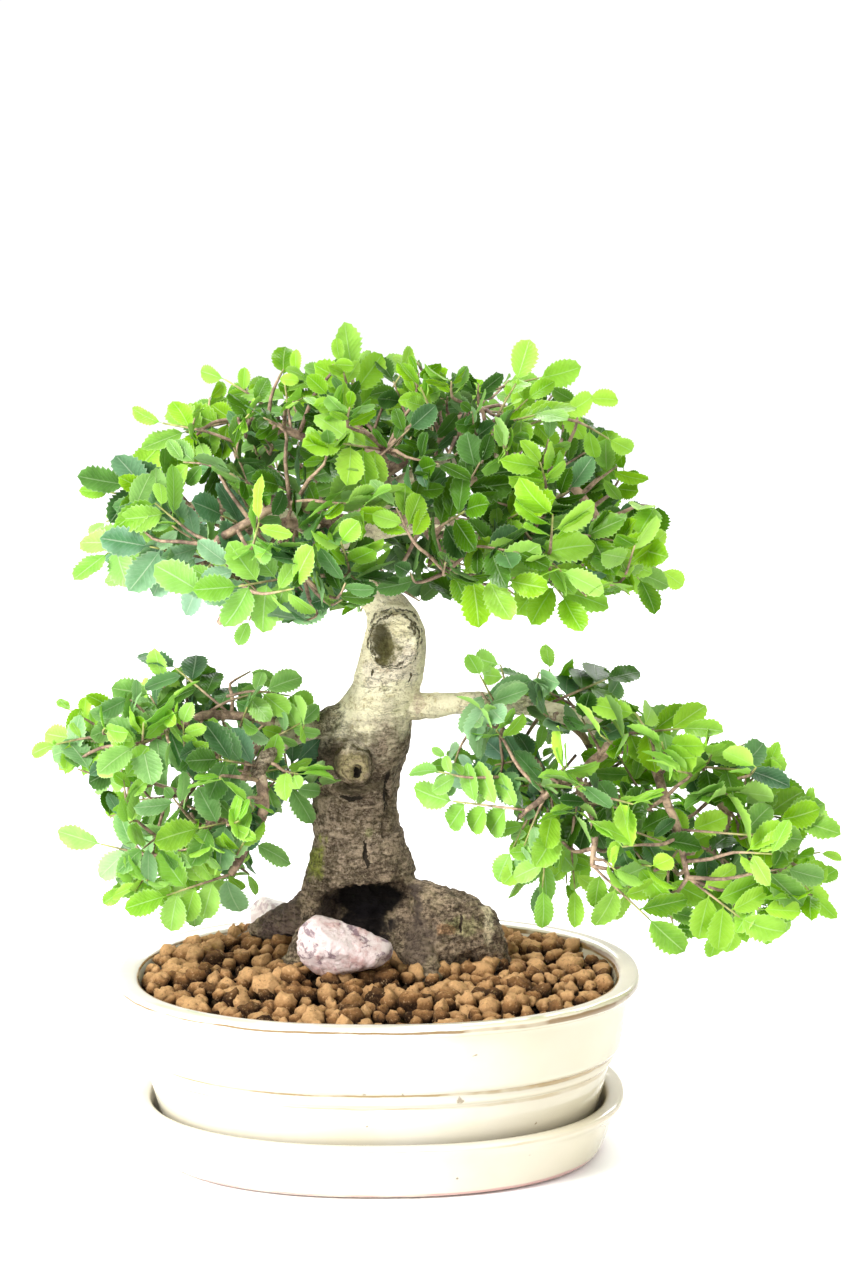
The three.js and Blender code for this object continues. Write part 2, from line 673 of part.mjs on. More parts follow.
function woodRods() {
  const trunk = rodsAlong(TRUNK.map(([centre]) => at(...centre)), TRUNK.map(([, [wide]]) => wide));
  const branches = BRANCHES.flatMap((branch) => {
    return rodsAlong(branch[3].map((place) => at(...place)), branchRadii(branch));
  });
  return [...trunk, ...branches];
}

function stemPoints(shoot, shares) {
  return shares.map((share) => shoot.base.clone().addScaledVector(shoot.direction, share * shoot.length));
}

function stemIsClear(shoot, grown, rods) {
  const stem = stemPoints(shoot, [0.2, 0.4, 0.6, 0.8, 1]);
  if (!clearOfRods(stem, [...rods, ...grown], STEM_SPACE)) return false;
  return grown.every((other) => other.leaves.every((leaf) => clearOfLeaf(stem, leaf, LEAF_SPACE)));
}

function leafIsClear(leaf, grown, rods) {
  if (leaf.samples.some((point) => point.z < LOWEST_LEAF)) return false;
  if (!clearOfRods(leaf.samples, rods, WOOD_SPACE)) return false;
  return grown.every((shoot) => {
    if (shoot.middle.distanceTo(leaf.centre) > 2 * SHOOT_LENGTH + LEAF_LENGTH) return true;
    return clearOfRods(leaf.samples, [shoot], WOOD_SPACE) && shoot.leaves.every((other) => {
      if (other.centre.distanceTo(leaf.centre) > 1.3 * LEAF_LENGTH) return true;
      return leavesApart(leaf, other, LEAF_SPACE);
    });
  });
}

// The leaves of a shoot that are clear of the wood, of each other and of the shoots grown before it
function leavesOf(shoot, grown, rods, random) {
  const leaves = [];
  for (let i = 0; i < SHOOT_LEAVES; i++) {
    for (let attempt = 0; attempt < LEAF_TRIES; attempt++) {
      const leaf = withShape(growLeaf(shoot, i, random));
      const apart = leaves.every((other) => leavesApart(leaf, other, BLADE_SPACE));
      if (!apart || !leafIsClear(leaf, grown, rods)) continue;
      leaves.push(leaf);
      break;
    }
  }
  return leaves;
}

// Each shoot points the best of its possible ways
function growShoots(plans) {
  const rods = woodRods();
  const bare = Object.fromEntries(Object.keys(PADS).map((pad) => [pad, coverOf(pad)]));
  const grown = [];
  for (const plan of plans) {
    if (grown.filter((shoot) => shoot.pad === plan.pad).length === SHOOTS[plan.pad]) continue;
    const random = seeded(100 + grown.length);
    let best = null;
    for (const direction of directionsOf(plan)) {
      const shoot = aimShoot(plan, direction, random);
      shoot.tilt = LEAF_TILT + LEAF_TILT_RANGE * (2 * random() - 1);
      const clear = shoot.squareness > LEAST_SQUARE && stemIsClear(shoot, grown, rods);
      shoot.leaves = clear ? leavesOf(shoot, grown, rods, random) : [];
      shoot.worth = worth(shoot, bare[plan.pad]);
      if (!best || shoot.worth > best.worth) best = shoot;
    }
    best.leaves = uncrossed(best);
    const covered = new Set(newlyCovered(best, bare[plan.pad]));
    bare[plan.pad] = bare[plan.pad].filter((point) => !covered.has(point));
    const [from, to] = stemPoints(best, [0, 1]);
    grown.push({ ...best, from, to, radius: STEM_RADIUS });
  }
  return grown;
}

// A three-sided stem, whose corners are a ridge on top and one low on either side
function stemRing(shoot, place) {
  const centre = shoot.base.clone().addScaledVector(shoot.direction, place);
  const radius = STEM_RADIUS * (1 - (STEM_TAPER * place) / shoot.length);
  return [-30, 90, 210].map((degrees) => {
    const turn = THREE.MathUtils.degToRad(degrees);
    return centre
      .clone()
      .addScaledVector(shoot.side, radius * Math.cos(turn))
      .addScaledVector(shoot.normal, radius * Math.sin(turn));
  });
}

// The blade of a leaf that grows out of an open patch of its stem, which has corners above and below
function bladeTriangles(leaf, above, below) {
  const outline = [
    ...TOOTHED_HALF.map(([along, across]) => [along, -across]),
    [1, 0],
    ...PLAIN_HALF.toReversed(),
  ];
  const middle = outline.map((place) => leafPoint(leaf, place));
  const half = leaf.normal.clone().multiplyScalar(LEAF_THICKNESS / 2);
  const top = [...above, ...middle.map((point) => point.clone().add(half))];
  const bottom = [...below, ...middle.map((point) => point.clone().sub(half))];
  const face = [[0, 1, 5], [1, 2, 3], [1, 3, 4], [1, 4, 5], [0, 5, 6], [0, 6, 7]];
  const triangles = [];
  for (const corners of face) {
    triangles.push(corners.map((i) => top[i]), corners.toReversed().map((i) => bottom[i]));
  }
  for (let i = 1; i < top.length; i++) {
    const next = (i + 1) % top.length;
    triangles.push([top[next], top[i], bottom[i]], [top[next], bottom[i], bottom[next]]);
  }
  return triangles;
}

function bladeOf(shoot, leaf) {
  const here = stemRing(shoot, leaf.place);
  const next = stemRing(shoot, leaf.place + STEM_PATCH);
  if (leaf.hand > 0) return bladeTriangles(leaf, [here[1], next[1]], [here[0], next[0]]);
  if (leaf.hand < 0) return bladeTriangles(leaf, [next[1], here[1]], [next[2], here[2]]);
  return bladeTriangles(leaf, [here[1], here[1]], [here[0], here[2]]);
}

// Whether an edge of some triangles runs through one of the others
function crosses(some, others) {
  const ray = new THREE.Ray();
  return some.some((corners) => corners.some((from, i) => {
    const to = corners[(i + 1) % 3];
    const length = from.distanceTo(to);
    if (length < TOUCHING) return false;
    ray.set(from, to.clone().sub(from).divideScalar(length));
    return others.some((triangle) => {
      const meet = (corner) => corner.distanceTo(from) < TOUCHING || corner.distanceTo(to) < TOUCHING;
      if (triangle.some(meet) || !ray.intersectTriangle(...triangle, false, nearest)) return false;
      return nearest.distanceTo(from) < length;
    });
  }));
}

function shootTriangles(shoot) {
  const terminal = shoot.leaves.find((leaf) => leaf.hand === 0);
  const lateral = shoot.leaves.filter((leaf) => leaf.hand !== 0);
  const end = terminal ? shoot.length : lateral.at(-1).place + STEM_PATCH;
  const places = [0, ...lateral.flatMap(({ place }) => [place, place + STEM_PATCH])];
  if (terminal) places.push(end);
  const rings = places.map((place) => stemRing(shoot, place));
  const triangles = [rings[0].toReversed()];
  for (let i = 0; i + 1 < rings.length; i++) {
    const leaf = i % 2 ? lateral[(i - 1) / 2] : null;
    const [here, next] = [rings[i], rings[i + 1]];
    for (let j = 0; j < 3; j++) {
      const k = (j + 1) % 3;
      if (leaf && j === (leaf.hand > 0 ? 0 : 1)) continue;
      triangles.push([here[j], here[k], next[k]], [here[j], next[k], next[j]]);
    }
    if (leaf) triangles.push(...bladeOf(shoot, leaf));
  }
  return [...triangles, ...(terminal ? bladeOf(shoot, terminal) : [rings.at(-1)])];
}

// The leaves whose blades run neither through themselves nor through the rest of the shoot
function uncrossed(shoot) {
  return shoot.leaves.reduce((leaves, leaf) => {
    const blade = bladeOf(shoot, leaf);
    const triangles = shootTriangles({ ...shoot, leaves });
    const crossed = crosses(blade, triangles) || crosses(triangles, blade);
    return crossed && leaves.length > 1 ? leaves.filter((other) => other !== leaf) : leaves;
  }, shoot.leaves);
}

function shootSolid(shoot) {
  const points = shootTriangles(shoot).flat();
  return solid(surface(points, points.map((_, i) => i)));
}

function makeTree() {
  let wood = addScars(rootBall(0));
  for (const branch of BRANCHES) {
    const radii = branchRadii(branch);
    const sides = radii[0] > THICK_BRANCH.radius ? THICK_BRANCH.sides : THIN_BRANCH_SIDES;
    wood = wood.add(tube(branch[3].map((place) => at(...place)), radii, sides));
  }
  piece("tree_wood", wood, "bark");
  growShoots(planShoots(wood)).forEach((shoot, number) => {
    piece(`leafy_shoot_${shoot.pad}_${number + 1}`, shootSolid(shoot), shoot.finish);
  });
}

// Stones and soil

const STONE_ROUGHNESS = 0.14;

// A stone with flat faces: a sphere pushed in and out at each corner
function stone(centre, radii, seed) {
  const random = seeded(seed);
  const ball = new THREE.IcosahedronGeometry(1, 1);
  const rough = mergeVertices(ball.deleteAttribute("uv").deleteAttribute("normal"));
  const place = rough.attributes.position;
  for (let i = 0; i < place.count; i++) {
    const push = about(1, STONE_ROUGHNESS, random);
    place.setXYZ(i, place.getX(i) * push, place.getY(i) * push, place.getZ(i) * push);
  }
  return (grow) => {
    const shape = rough.clone();
    shape.scale(...radii.map((radius) => radius + grow));
    shape.translate(...centre.toArray());
    return solid(shape);
  };
}

function soilHeight(x, y) {
  const away = ((x - MOUND.x) / MOUND.reachX) ** 2 + ((y - MOUND.y) / MOUND.reachY) ** 2;
  return SOIL_EDGE + MOUND.rise * Math.exp(-away);
}

// A slab whose top is a honeycomb of blunt grains, each a low six-sided cone
function grainSlab() {
  const random = seeded(5);
  const pitch = GRAIN.pitch;
  const rowStep = (pitch * Math.sqrt(3)) / 2;
  const cornerReach = pitch / Math.sqrt(3);
  const columns = Math.ceil((2 * RIM_HALF_LENGTH) / pitch) + 2;
  const rows = Math.ceil((2 * (RIM_HALF_LENGTH - OVAL_DIFFERENCE)) / rowStep) + 2;
  const points = [];
  const corners = new Map();
  const triangles = [];
  const corner = (x, y) => {
    const key = `${Math.round(x * 10)} ${Math.round(y * 10)}`;
    if (!corners.has(key)) {
      corners.set(key, points.length);
      const sink = about(GRAIN.depth, GRAIN.depthRange, random);
      points.push(at(x, y, soilHeight(x, y) - sink));
    }
    return corners.get(key);
  };
  for (let row = 0; row < rows; row++) {
    for (let column = 0; column < columns; column++) {
      const x = (column - (columns - 1) / 2 + (row % 2) / 2) * pitch;
      const y = (row - (rows - 1) / 2) * rowStep;
      const ring = Array.from({ length: 6 }, (_, j) => {
        const turn = ((j + 0.5) * Math.PI) / 3;
        return corner(x + cornerReach * Math.cos(turn), y + cornerReach * Math.sin(turn));
      });
      const top = points.length;
      const shift = at(random() - 0.5, random() - 0.5, (random() - 0.5) / 2);
      points.push(at(x, y, soilHeight(x, y)).addScaledVector(shift, 2 * GRAIN.jitter));
      ring.forEach((here, j) => triangles.push([top, here, ring[(j + 1) % 6]]));
    }
  }
  const count = points.length;
  const floor = points.map((point) => at(point.x, point.y, 0));
  const edges = new Set(triangles.flatMap(([a, b, c]) => [`${a} ${b}`, `${b} ${c}`, `${c} ${a}`]));
  const walls = [];
  for (const edge of edges) {
    const [a, b] = edge.split(" ").map(Number);
    if (!edges.has(`${b} ${a}`)) walls.push([a, a + count, b + count], [a, b + count, b]);
  }
  const under = triangles.map((triangle) => triangle.map((i) => i + count).toReversed());
  return solid(surface([...points, ...floor], [...triangles, ...under, ...walls]));
}

function makeSoilAndStones() {
  const frontStone = stone(at(-14, -14, 84), [20, 10.5, 12], 21);
  const backStone = stone(at(-41, 48, 77), [9, 6.5, 7.5], 22);
  const inner = POT_INSIDE.slice(1).map(([half, height]) => [half - CLEARANCE, height + CLEARANCE]);
  const high = 2 * RIM_HEIGHT;
  const room = oval([[0, inner.at(-1)[1]], ...inner.toReversed(), [inner[0][0], high], [0, high]]);
  let soil = room.intersect(grainSlab()).subtract(rootBall(1.6 * CLEARANCE));
  for (const shape of [frontStone, backStone]) soil = soil.subtract(shape(1.3 * CLEARANCE));
  for (const x of [-DRAIN.x, DRAIN.x]) {
    const pocket = [MESH.side + 2 * CLEARANCE, MESH.side + 2 * CLEARANCE, MESH.thickness + 4 * CLEARANCE];
    soil = soil.subtract(block(at(x, 0, MESH_MIDDLE), pocket));
  }
  piece("soil", soil, "soil");
  piece("quartz_front", frontStone(0), "quartz");
  piece("quartz_back", backStone(0), "pale_quartz");
}

makeTray();
makePot();
makeDrainageMesh("drainage_mesh_left", -DRAIN.x);
makeDrainageMesh("drainage_mesh_right", DRAIN.x);
makeTree();
makeSoilAndStones();

export default bonsai;
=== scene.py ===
"""Looks of a Chinese elm bonsai in its glazed oval pot and drip tray.

Lengths are in millimetres until a mesh is made. Z is up, X runs along the pot's long side, and the
front of the tree faces -Y.
"""

import json
import math

import bmesh
import bpy
import numpy as np
from mathutils import Matrix, Vector, noise


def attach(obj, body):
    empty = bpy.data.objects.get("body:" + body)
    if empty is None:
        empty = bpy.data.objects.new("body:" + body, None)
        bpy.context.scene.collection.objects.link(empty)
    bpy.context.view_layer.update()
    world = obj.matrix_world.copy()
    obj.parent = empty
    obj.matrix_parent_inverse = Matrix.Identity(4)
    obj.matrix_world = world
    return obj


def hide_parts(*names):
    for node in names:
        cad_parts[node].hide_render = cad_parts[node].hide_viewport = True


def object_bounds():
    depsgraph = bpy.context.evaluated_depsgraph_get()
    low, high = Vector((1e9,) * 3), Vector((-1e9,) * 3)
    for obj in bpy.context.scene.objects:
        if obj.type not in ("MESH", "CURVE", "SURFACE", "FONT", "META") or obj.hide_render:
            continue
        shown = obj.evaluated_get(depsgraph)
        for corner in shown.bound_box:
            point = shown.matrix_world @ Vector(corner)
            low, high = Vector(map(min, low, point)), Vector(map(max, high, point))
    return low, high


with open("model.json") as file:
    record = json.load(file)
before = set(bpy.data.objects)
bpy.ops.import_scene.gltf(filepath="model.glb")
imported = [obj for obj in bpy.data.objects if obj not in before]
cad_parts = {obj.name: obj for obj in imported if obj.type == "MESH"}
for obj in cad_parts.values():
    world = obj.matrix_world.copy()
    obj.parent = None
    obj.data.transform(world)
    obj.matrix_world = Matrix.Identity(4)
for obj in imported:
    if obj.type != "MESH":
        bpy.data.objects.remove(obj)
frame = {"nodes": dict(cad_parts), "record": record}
cad_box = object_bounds()
NODES = frame["nodes"]
MM = 0.001

# Sizes shared with the solids
RIM_HALF_LENGTH = 102.5
RIM_HEIGHT = 71.5
OVAL_DIFFERENCE = 22.5
OVAL_POWER = 2.25
OVAL_FROM = 60.0
TRAY_HALF_LENGTH = 97.0
TRAY_HEIGHT = 23.5
TRAY_FLOOR = 4.0
POT_BASE = 7.8
POT_FLOOR = 13.0
FOOT_PLACES = [(-56, -33), (-56, 33), (56, -33), (56, 33)]
FOOT_SIZE = (18, 11)
CLEARANCE = 0.3
SOIL_EDGE = 68.0
MOUND = (-7.0, 22.0, 62.0, 46.0, 7.5)  # middle x, middle y, reach x, reach y, rise

TRUNK = [  # the middle of each section, and its half sizes
    (-7, 22, 57, 15, 13), (-7, 22, 72, 24.5, 20), (-7.5, 21, 83, 23, 18.5), (-8, 20, 94, 21.5, 18),
    (-7.6, 20, 107, 20.5, 17), (-8.2, 19, 118, 17.3, 15.5), (-9.2, 19, 130, 16.5, 14.5),
    (-8.2, 18, 142, 16.1, 14.5), (-7, 18, 152, 16.9, 15), (-5, 17.5, 159, 17.2, 15), (-3, 17, 165, 16.5, 15),
    (-0.6, 16.5, 171, 14.2, 14), (2.3, 16, 178.5, 12.7, 13), (5.2, 14.5, 189, 13.1, 12.4),
    (6.3, 13, 200, 12.5, 11.3), (4.5, 12, 208, 10.8, 10), (1, 11, 214, 8, 8), (-4, 10, 219, 6, 6),
]
ROOTS = [  # points and their radii
    [(4, 16, 91, 13.5), (20, 12, 90.5, 10.8), (31, 10, 88, 10), (39, 9, 82.5, 8.8), (44, 9, 74, 6.5),
     (50, 8, 60, 2.5)],
    [(6, 14, 88, 11), (14, 3, 80, 8), (19, -6, 72, 5), (23, -14, 60, 2.2)],
    [(-18, 23, 90, 10), (-33, 29, 83, 6.8), (-45, 36, 77, 4.6), (-54, 42, 69, 3), (-62, 46, 58, 1.6)],
    [(-18, 16, 86, 9), (-30, 7, 76, 5), (-38, 0, 64, 2.2)],
    [(-7, 32, 86, 10), (-3, 45, 76, 6), (3, 56, 62, 2.2)],
    [(8, 26, 88, 9), (24, 37, 77, 5.2), (34, 45, 63, 2.2)],
]
STUB = [(-10, 15, 164.5, 8.5), (-16, 14.5, 167, 6.6), (-21.5, 14, 169.5, 4.8)]
BRANCHES = {  # radius at the start, radius at the end, and points
    "crown": [
        (6, 2, [(-4, 10, 218), (-9, 8, 228), (-8, 5, 240), (0, 2, 255), (2, 0, 268), (-6, 0, 281)]),
        (2.6, 1.1, [(1, 1, 261), (-16, -5, 273), (-32, -8, 283), (-50, -9, 288)]),
        (2.4, 1.1, [(1, 0, 263), (4, -16, 275), (4, -34, 279)]),
        (2.4, 1.1, [(2, 0, 266), (22, -8, 279), (44, -15, 286)]),
        (2.4, 1.1, [(2, 0, 268), (20, 10, 281), (38, 20, 288)]),
        (2.4, 1.1, [(1, 0, 270), (-8, 16, 282), (-14, 32, 285)]),
        (3.6, 1.3, [(-8, 5, 234), (-28, -2, 247), (-50, -8, 255), (-70, -10, 255), (-84, -8, 247)]),
        (3, 1.2, [(-8, 5, 238), (-26, -12, 248), (-46, -26, 248), (-60, -34, 238)]),
        (3, 1.2, [(-6, 4, 244), (-14, -20, 251), (-20, -38, 247), (-26, -50, 235)]),
        (3, 1.2, [(-3, 4, 248), (10, -18, 252), (20, -36, 248), (26, -50, 236)]),
        (3.4, 1.3, [(-6, 4, 242), (20, -10, 248), (42, -24, 248), (60, -34, 237)]),
        (3.3, 1.3, [(0, 2, 258), (28, 0, 270), (50, 0, 273), (68, -2, 268), (80, -3, 256), (88, -2, 243)]),
        (3, 1.2, [(0, 2, 254), (26, 16, 260), (48, 28, 259), (66, 36, 248)]),
        (3, 1.2, [(-2, 3, 251), (10, 22, 259), (18, 40, 258), (24, 54, 247)]),
        (3, 1.2, [(-4, 4, 247), (-16, 24, 256), (-24, 42, 256), (-32, 54, 246)]),
        (3, 1.2, [(-7, 5, 241), (-30, 16, 251), (-50, 26, 253), (-68, 32, 245)]),
        (1.9, 1.3, [(-16, -28, 250), (-31, -46, 261), (-50, -51, 252), (-57, -52, 246), (-50, -52, 233),
                    (-57, -50, 217)]),
    ],
    "left": [
        (3.8, 1.4, [(-16, 14, 166), (-33, 3, 163), (-45, -9, 154), (-44, -14, 136), (-56, -19, 114)]),
        (2.2, 1.1, [(-44, -12, 142), (-64, -14, 133), (-84, -10, 118)]),
        (2.8, 1.1, [(-33, 3, 163), (-42, 0, 170), (-56, -4, 173), (-74, -5, 171), (-90, -6, 163)]),
        (2.4, 1.1, [(-32, 4, 163), (-46, 20, 160), (-62, 28, 152), (-76, 26, 135)]),
        (1.9, 1, [(-46, 20, 160), (-56, 20, 138), (-66, 16, 114)]),
    ],
    "right": [
        (5.2, 1.5, [(8, 15, 172), (24, 9, 174.5), (40, 4, 176.5), (64, -1, 175), (92, -6, 166),
                    (114, -6, 154), (136, -5, 136)]),
        (2.6, 1.1, [(92, -6, 166), (84, -16, 158), (70, -24, 150), (57, -27, 141)]),
        (1.8, 1, [(76, -20, 153), (82, -28, 137), (82, -30, 120)]),
        (2.3, 1.1, [(104, -6, 160), (108, -20, 150), (114, -29, 134), (118, -32, 116)]),
        (2.4, 1.1, [(56, 0, 178), (68, 14, 172), (82, 24, 157), (90, 27, 136)]),
        (2.1, 1.1, [(108, -6, 157), (122, 10, 148), (134, 18, 134), (142, 20, 118)]),
    ],
}
PADS = {  # middle, half sizes, how far it reaches down, fall along X
    "crown": ((3, 2, 238), (118, 86, 78), 36, 0.0),
    "left": ((-72, 4, 142), (55, 46, 50), 48, 0.0),
    "right": ((104, -2, 142), (80, 48, 44), 44, -0.42),
}
EDGES = {  # outline of each pad seen from the front, as x and z in the plane of the trunk
    "crown": [(-103, 250), (-100, 262), (-87, 273), (-77, 284), (-60, 300), (-31, 307), (9, 312), (30, 306),
              (50, 306), (77, 296), (92, 280), (102, 262), (108, 250), (111, 238), (111, 230), (104, 223),
              (92, 219), (75, 216), (64, 222), (50, 224), (28, 219), (12, 220), (-9, 213), (-36, 209),
              (-62, 216), (-84, 230), (-97, 240)],
    "left": [(-130, 160), (-124, 176), (-104, 183), (-88, 188), (-70, 191), (-50, 189), (-24, 186),
             (-17, 170), (-17, 147), (-28, 141), (-42, 131), (-49, 118), (-47, 101), (-62, 89), (-86, 92),
             (-103, 97), (-101, 125), (-108, 142)],
    "right": [(34, 196), (44, 193), (60, 187), (76, 193), (97, 188), (106, 178), (120, 168), (136, 161),
              (156, 158), (163, 146), (174, 131), (179, 110), (165, 92), (154, 81), (134, 79), (122, 84),
              (104, 100), (84, 96), (68, 94), (50, 110), (44, 136), (30, 145), (20, 146), (20, 158),
              (33, 161), (40, 171), (28, 182)],
}
EYE = np.array([19.2, -1144.6, 405.7])
LIGHT_SIDE = np.array([0.1, -1.0, 0.35]) / math.hypot(0.1, 1.0, 0.35)
UP = np.array([0.0, 0.0, 1.0])


# Small tools


def unit(v):
    v = np.asarray(v, float)
    return v / np.maximum(np.linalg.norm(v, axis=-1, keepdims=True), 1e-9)


def smooth(a, b, x):
    """0 at a and before it, 1 at b and past it, with a soft rise between."""
    t = np.clip((np.asarray(x, float) - a) / (b - a), 0, 1)
    return t * t * (3 - 2 * t)


def bell(off, width):
    return np.exp(-(off / width) ** 2)


def new_mesh(name, points, faces):
    mesh = bpy.data.meshes.new(name)
    mesh.from_pydata((np.asarray(points, float) * MM).tolist(), [], faces)
    return mesh


def add_object(name, data):
    obj = bpy.data.objects.new(name, data)
    bpy.context.scene.collection.objects.link(obj)
    return obj


def make_piece(name, shape, materials, slot, replaced=(), **values):
    """A piece from a mesh, or from points and faces; values are named numbers, one for every point."""
    mesh = shape if isinstance(shape, bpy.types.Mesh) else new_mesh(name, *shape)
    mesh.materials.clear()
    for material in materials:
        mesh.materials.append(material)
    mesh.polygons.foreach_set("use_smooth", np.full(len(mesh.polygons), True))
    mesh.update()
    for key, value in values.items():
        mesh.attributes.new(key, "FLOAT", "POINT").data.foreach_set("value", np.asarray(value, float))
    piece = add_object(name, mesh)
    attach(piece, "root")
    if replaced:
        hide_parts(*replaced)
    return piece


def spline(points, values, step):
    """A smooth curve through points, sampled about every step, with values carried along."""
    both = np.column_stack([points, values]).astype(float)
    ends = np.vstack([2 * both[0] - both[1], both, 2 * both[-1] - both[-2]])
    out = []
    for a, b, c, d in zip(ends, ends[1:], ends[2:], ends[3:]):
        n = max(2, int(np.linalg.norm(c[:3] - b[:3]) / step))
        for k in range(n):
            t = k / n
            out.append(0.5 * (2 * b + (c - a) * t + (2 * a - 5 * b + 4 * c - d) * t * t
                              + (3 * b - a - 3 * c + d) * t ** 3))
    out = np.array([*out, ends[-2]])
    return out[:, :3], out[:, 3:]


def ring_faces(rings, sides):
    """Four-sided faces between rings of points that follow each other."""
    faces = []
    for a in range(0, (rings - 1) * sides, sides):
        for j in range(sides):
            k = (j + 1) % sides
            faces.append((a + j, a + k, a + sides + k, a + sides + j))
    return faces


def end_faces(rings, sides):
    """Faces from the first and the last ring to the two points that come after all rings."""
    first, end = rings * sides, (rings - 1) * sides
    faces = []
    for j in range(sides):
        k = (j + 1) % sides
        faces += [(first, k, j), (first + 1, end + j, end + k)]
    return faces


def tube(points, radii, sides):
    """Points and faces of a closed tube; radii has one or two columns."""
    p = np.asarray(points, float)
    r = np.asarray(radii, float).reshape(len(p), -1)
    tangent = unit(np.gradient(p, axis=0))
    across = np.array([1.0, 0, 0]) if abs(tangent[0][0]) < 0.9 else np.array([0, 1.0, 0])
    turn = 2 * np.pi * np.arange(sides) / sides
    rings = []
    for place, ahead, radius in zip(p, tangent, r):
        across = unit(across - ahead * np.dot(across, ahead))
        other = np.cross(ahead, across)
        rings.append(place + np.outer(np.cos(turn) * radius[0], across)
                     + np.outer(np.sin(turn) * radius[-1], other))
    points = np.vstack(rings + [p[:1] - tangent[:1] * r[0, 0] * 0.4, p[-1:] + tangent[-1:] * r[-1, 0] * 0.6])
    return points, ring_faces(len(p), sides) + end_faces(len(p), sides)


def joined(parts):
    points, faces, start = [], [], 0
    for p, f in parts:
        points.append(p)
        faces.extend(tuple(i + start for i in face) for face in f)
        start += len(p)
    return np.vstack(points), faces


def twig(points, radii, thin, sides):
    """A tube, and how thin its wood is at every point of it."""
    return tube(points, radii, sides), np.concatenate([np.repeat(thin, sides), thin[:1], thin[-1:]])


def twig_piece(name, twigs):
    tubes, thin = zip(*twigs)
    make_piece(name, joined(tubes), [TWIG], "bark", thin=np.concatenate(thin))


def noise_at(points, scale, offset, kind):
    offset = Vector(offset)
    return np.array([kind(Vector(p) + offset) for p in np.asarray(points) / scale])


def field(points, scale, seed, stretch=(1, 1, 1), octaves=3):
    """Cloudy noise from about -1 to 1 at each point; scale is the size of its lumps."""
    return noise_at(points, scale * np.array(stretch), (seed * 17.3, seed * 5.1, -seed * 9.7),
                    lambda p: noise.fractal(p, 0.8, 2.1, octaves))


def ridge(points, scale, seed, stretch=(1, 1, 1)):
    """Noise with crests at 1."""
    offset = (seed * 11.9, -seed * 3.7, seed * 7.3)
    return 1 - 2 * np.abs(noise_at(points, scale * np.array(stretch), offset, noise.noise))


# Materials


def arithmetic(operation, swapped=False):
    def method(self, other=0.0):
        return self.nodes.math(operation, *((other, self) if swapped else (self, other)))
    return method


class Value:
    """What a node gives out. Numbers take plain arithmetic, which adds the nodes for it."""

    __add__, __radd__ = arithmetic("ADD"), arithmetic("ADD", True)
    __sub__, __rsub__ = arithmetic("SUBTRACT"), arithmetic("SUBTRACT", True)
    __mul__, __truediv__, __abs__ = arithmetic("MULTIPLY"), arithmetic("DIVIDE"), arithmetic("ABSOLUTE")

    def __init__(self, nodes, socket):
        self.nodes = nodes
        self.socket = socket

    def ramp(self, low, high, kind="SMOOTHSTEP"):
        """0 at low and 1 at high."""
        return self.nodes.make("MapRange", {"Value": self, "From Min": low, "From Max": high},
                               interpolation_type=kind)


class Nodes:
    """A material whose nodes are made by name."""

    def __init__(self, name):
        self.material = bpy.data.materials.new(name)
        self.material.use_nodes = True
        self.tree = self.material.node_tree
        self.tree.nodes.clear()
        self.here = self.make("TexCoord", output="Object")
        self.bent = None

    def make(self, kind, inputs=None, output=0, **settings):
        node = self.tree.nodes.new("ShaderNode" + kind)
        for key, value in settings.items():
            setattr(node, key, value)
        for key, value in (inputs or {}).items():
            if isinstance(value, Value):
                self.tree.links.new(value.socket, node.inputs[key])
            else:
                node.inputs[key].default_value = value
        return Value(self, node.outputs[output])

    def math(self, operation, a, b=0.0, clamp=False):
        return self.make("Math", {0: a, 1: b, 2: 0.0}, operation=operation, use_clamp=clamp)

    def vector(self, operation, *inputs, output=0):
        return self.make("VectorMath", dict(enumerate(inputs)), output, operation=operation)

    def place(self, stretch=(1, 1, 1)):
        return self.make("Mapping", {"Vector": self.here, "Scale": stretch})

    def noise(self, scale, detail=4.0, rough=0.55, distortion=0.0, stretch=(1, 1, 1)):
        return self.make("TexNoise", {"Vector": self.place(stretch), "Scale": scale, "Detail": detail,
                                      "Roughness": rough, "Distortion": distortion}, "Fac")

    def mix(self, share, a, b):
        a, b = (c if isinstance(c, Value) else (*c, 1) for c in (a, b))
        return self.make("Mix", {0: share, 6: a, 7: b}, 2, data_type="RGBA")

    def tinted(self, colour, *tints):
        """A colour with tints over it: the number that each follows, its low and high, share and tint."""
        for value, low, high, share, tint in tints:
            colour = self.mix(value.ramp(low, high) * share, colour, tint)
        return colour

    def axis(self, name):
        return self.make("SeparateXYZ", {"Vector": self.here}, name)

    def attribute(self, name):
        return self.make("Attribute", None, "Fac", attribute_name=name, attribute_type="GEOMETRY")

    def near(self, centre, radii):
        """0 in the middle of a ragged ellipsoid given in millimetres, and 1 on its surface."""
        if self.bent is None:
            wobble = self.make("TexNoise", {"Vector": self.here, "Scale": 110, "Detail": 4,
                                            "Roughness": 0.65}, "Color")
            shift = self.vector("SUBTRACT", wobble, (0.5, 0.5, 0.5))
            self.bent = self.vector("MULTIPLY_ADD", shift, (0.008, 0.0, 0.008), self.here)
        moved = self.vector("ADD", self.bent, [-c * MM for c in centre])
        scaled = self.vector("MULTIPLY", moved, [1 / (r * MM) for r in radii])
        return self.vector("LENGTH", scaled, output="Value")

    def bump(self, height, strength, distance, **normal):
        return self.make("Bump", {"Height": height, "Strength": strength, "Distance": distance, **normal})

    def principled(self, colour, rough, **more):
        """A surface; more holds other inputs by name, with _ for a space."""
        return self.make("BsdfPrincipled", {"Base Color": colour, "Roughness": rough,
                                            **{key.replace("_", " "): value for key, value in more.items()}})

    def finish(self, shader):
        out = self.tree.nodes.new("ShaderNodeOutputMaterial")
        self.tree.links.new(shader.socket, out.inputs["Surface"])
        return self.material


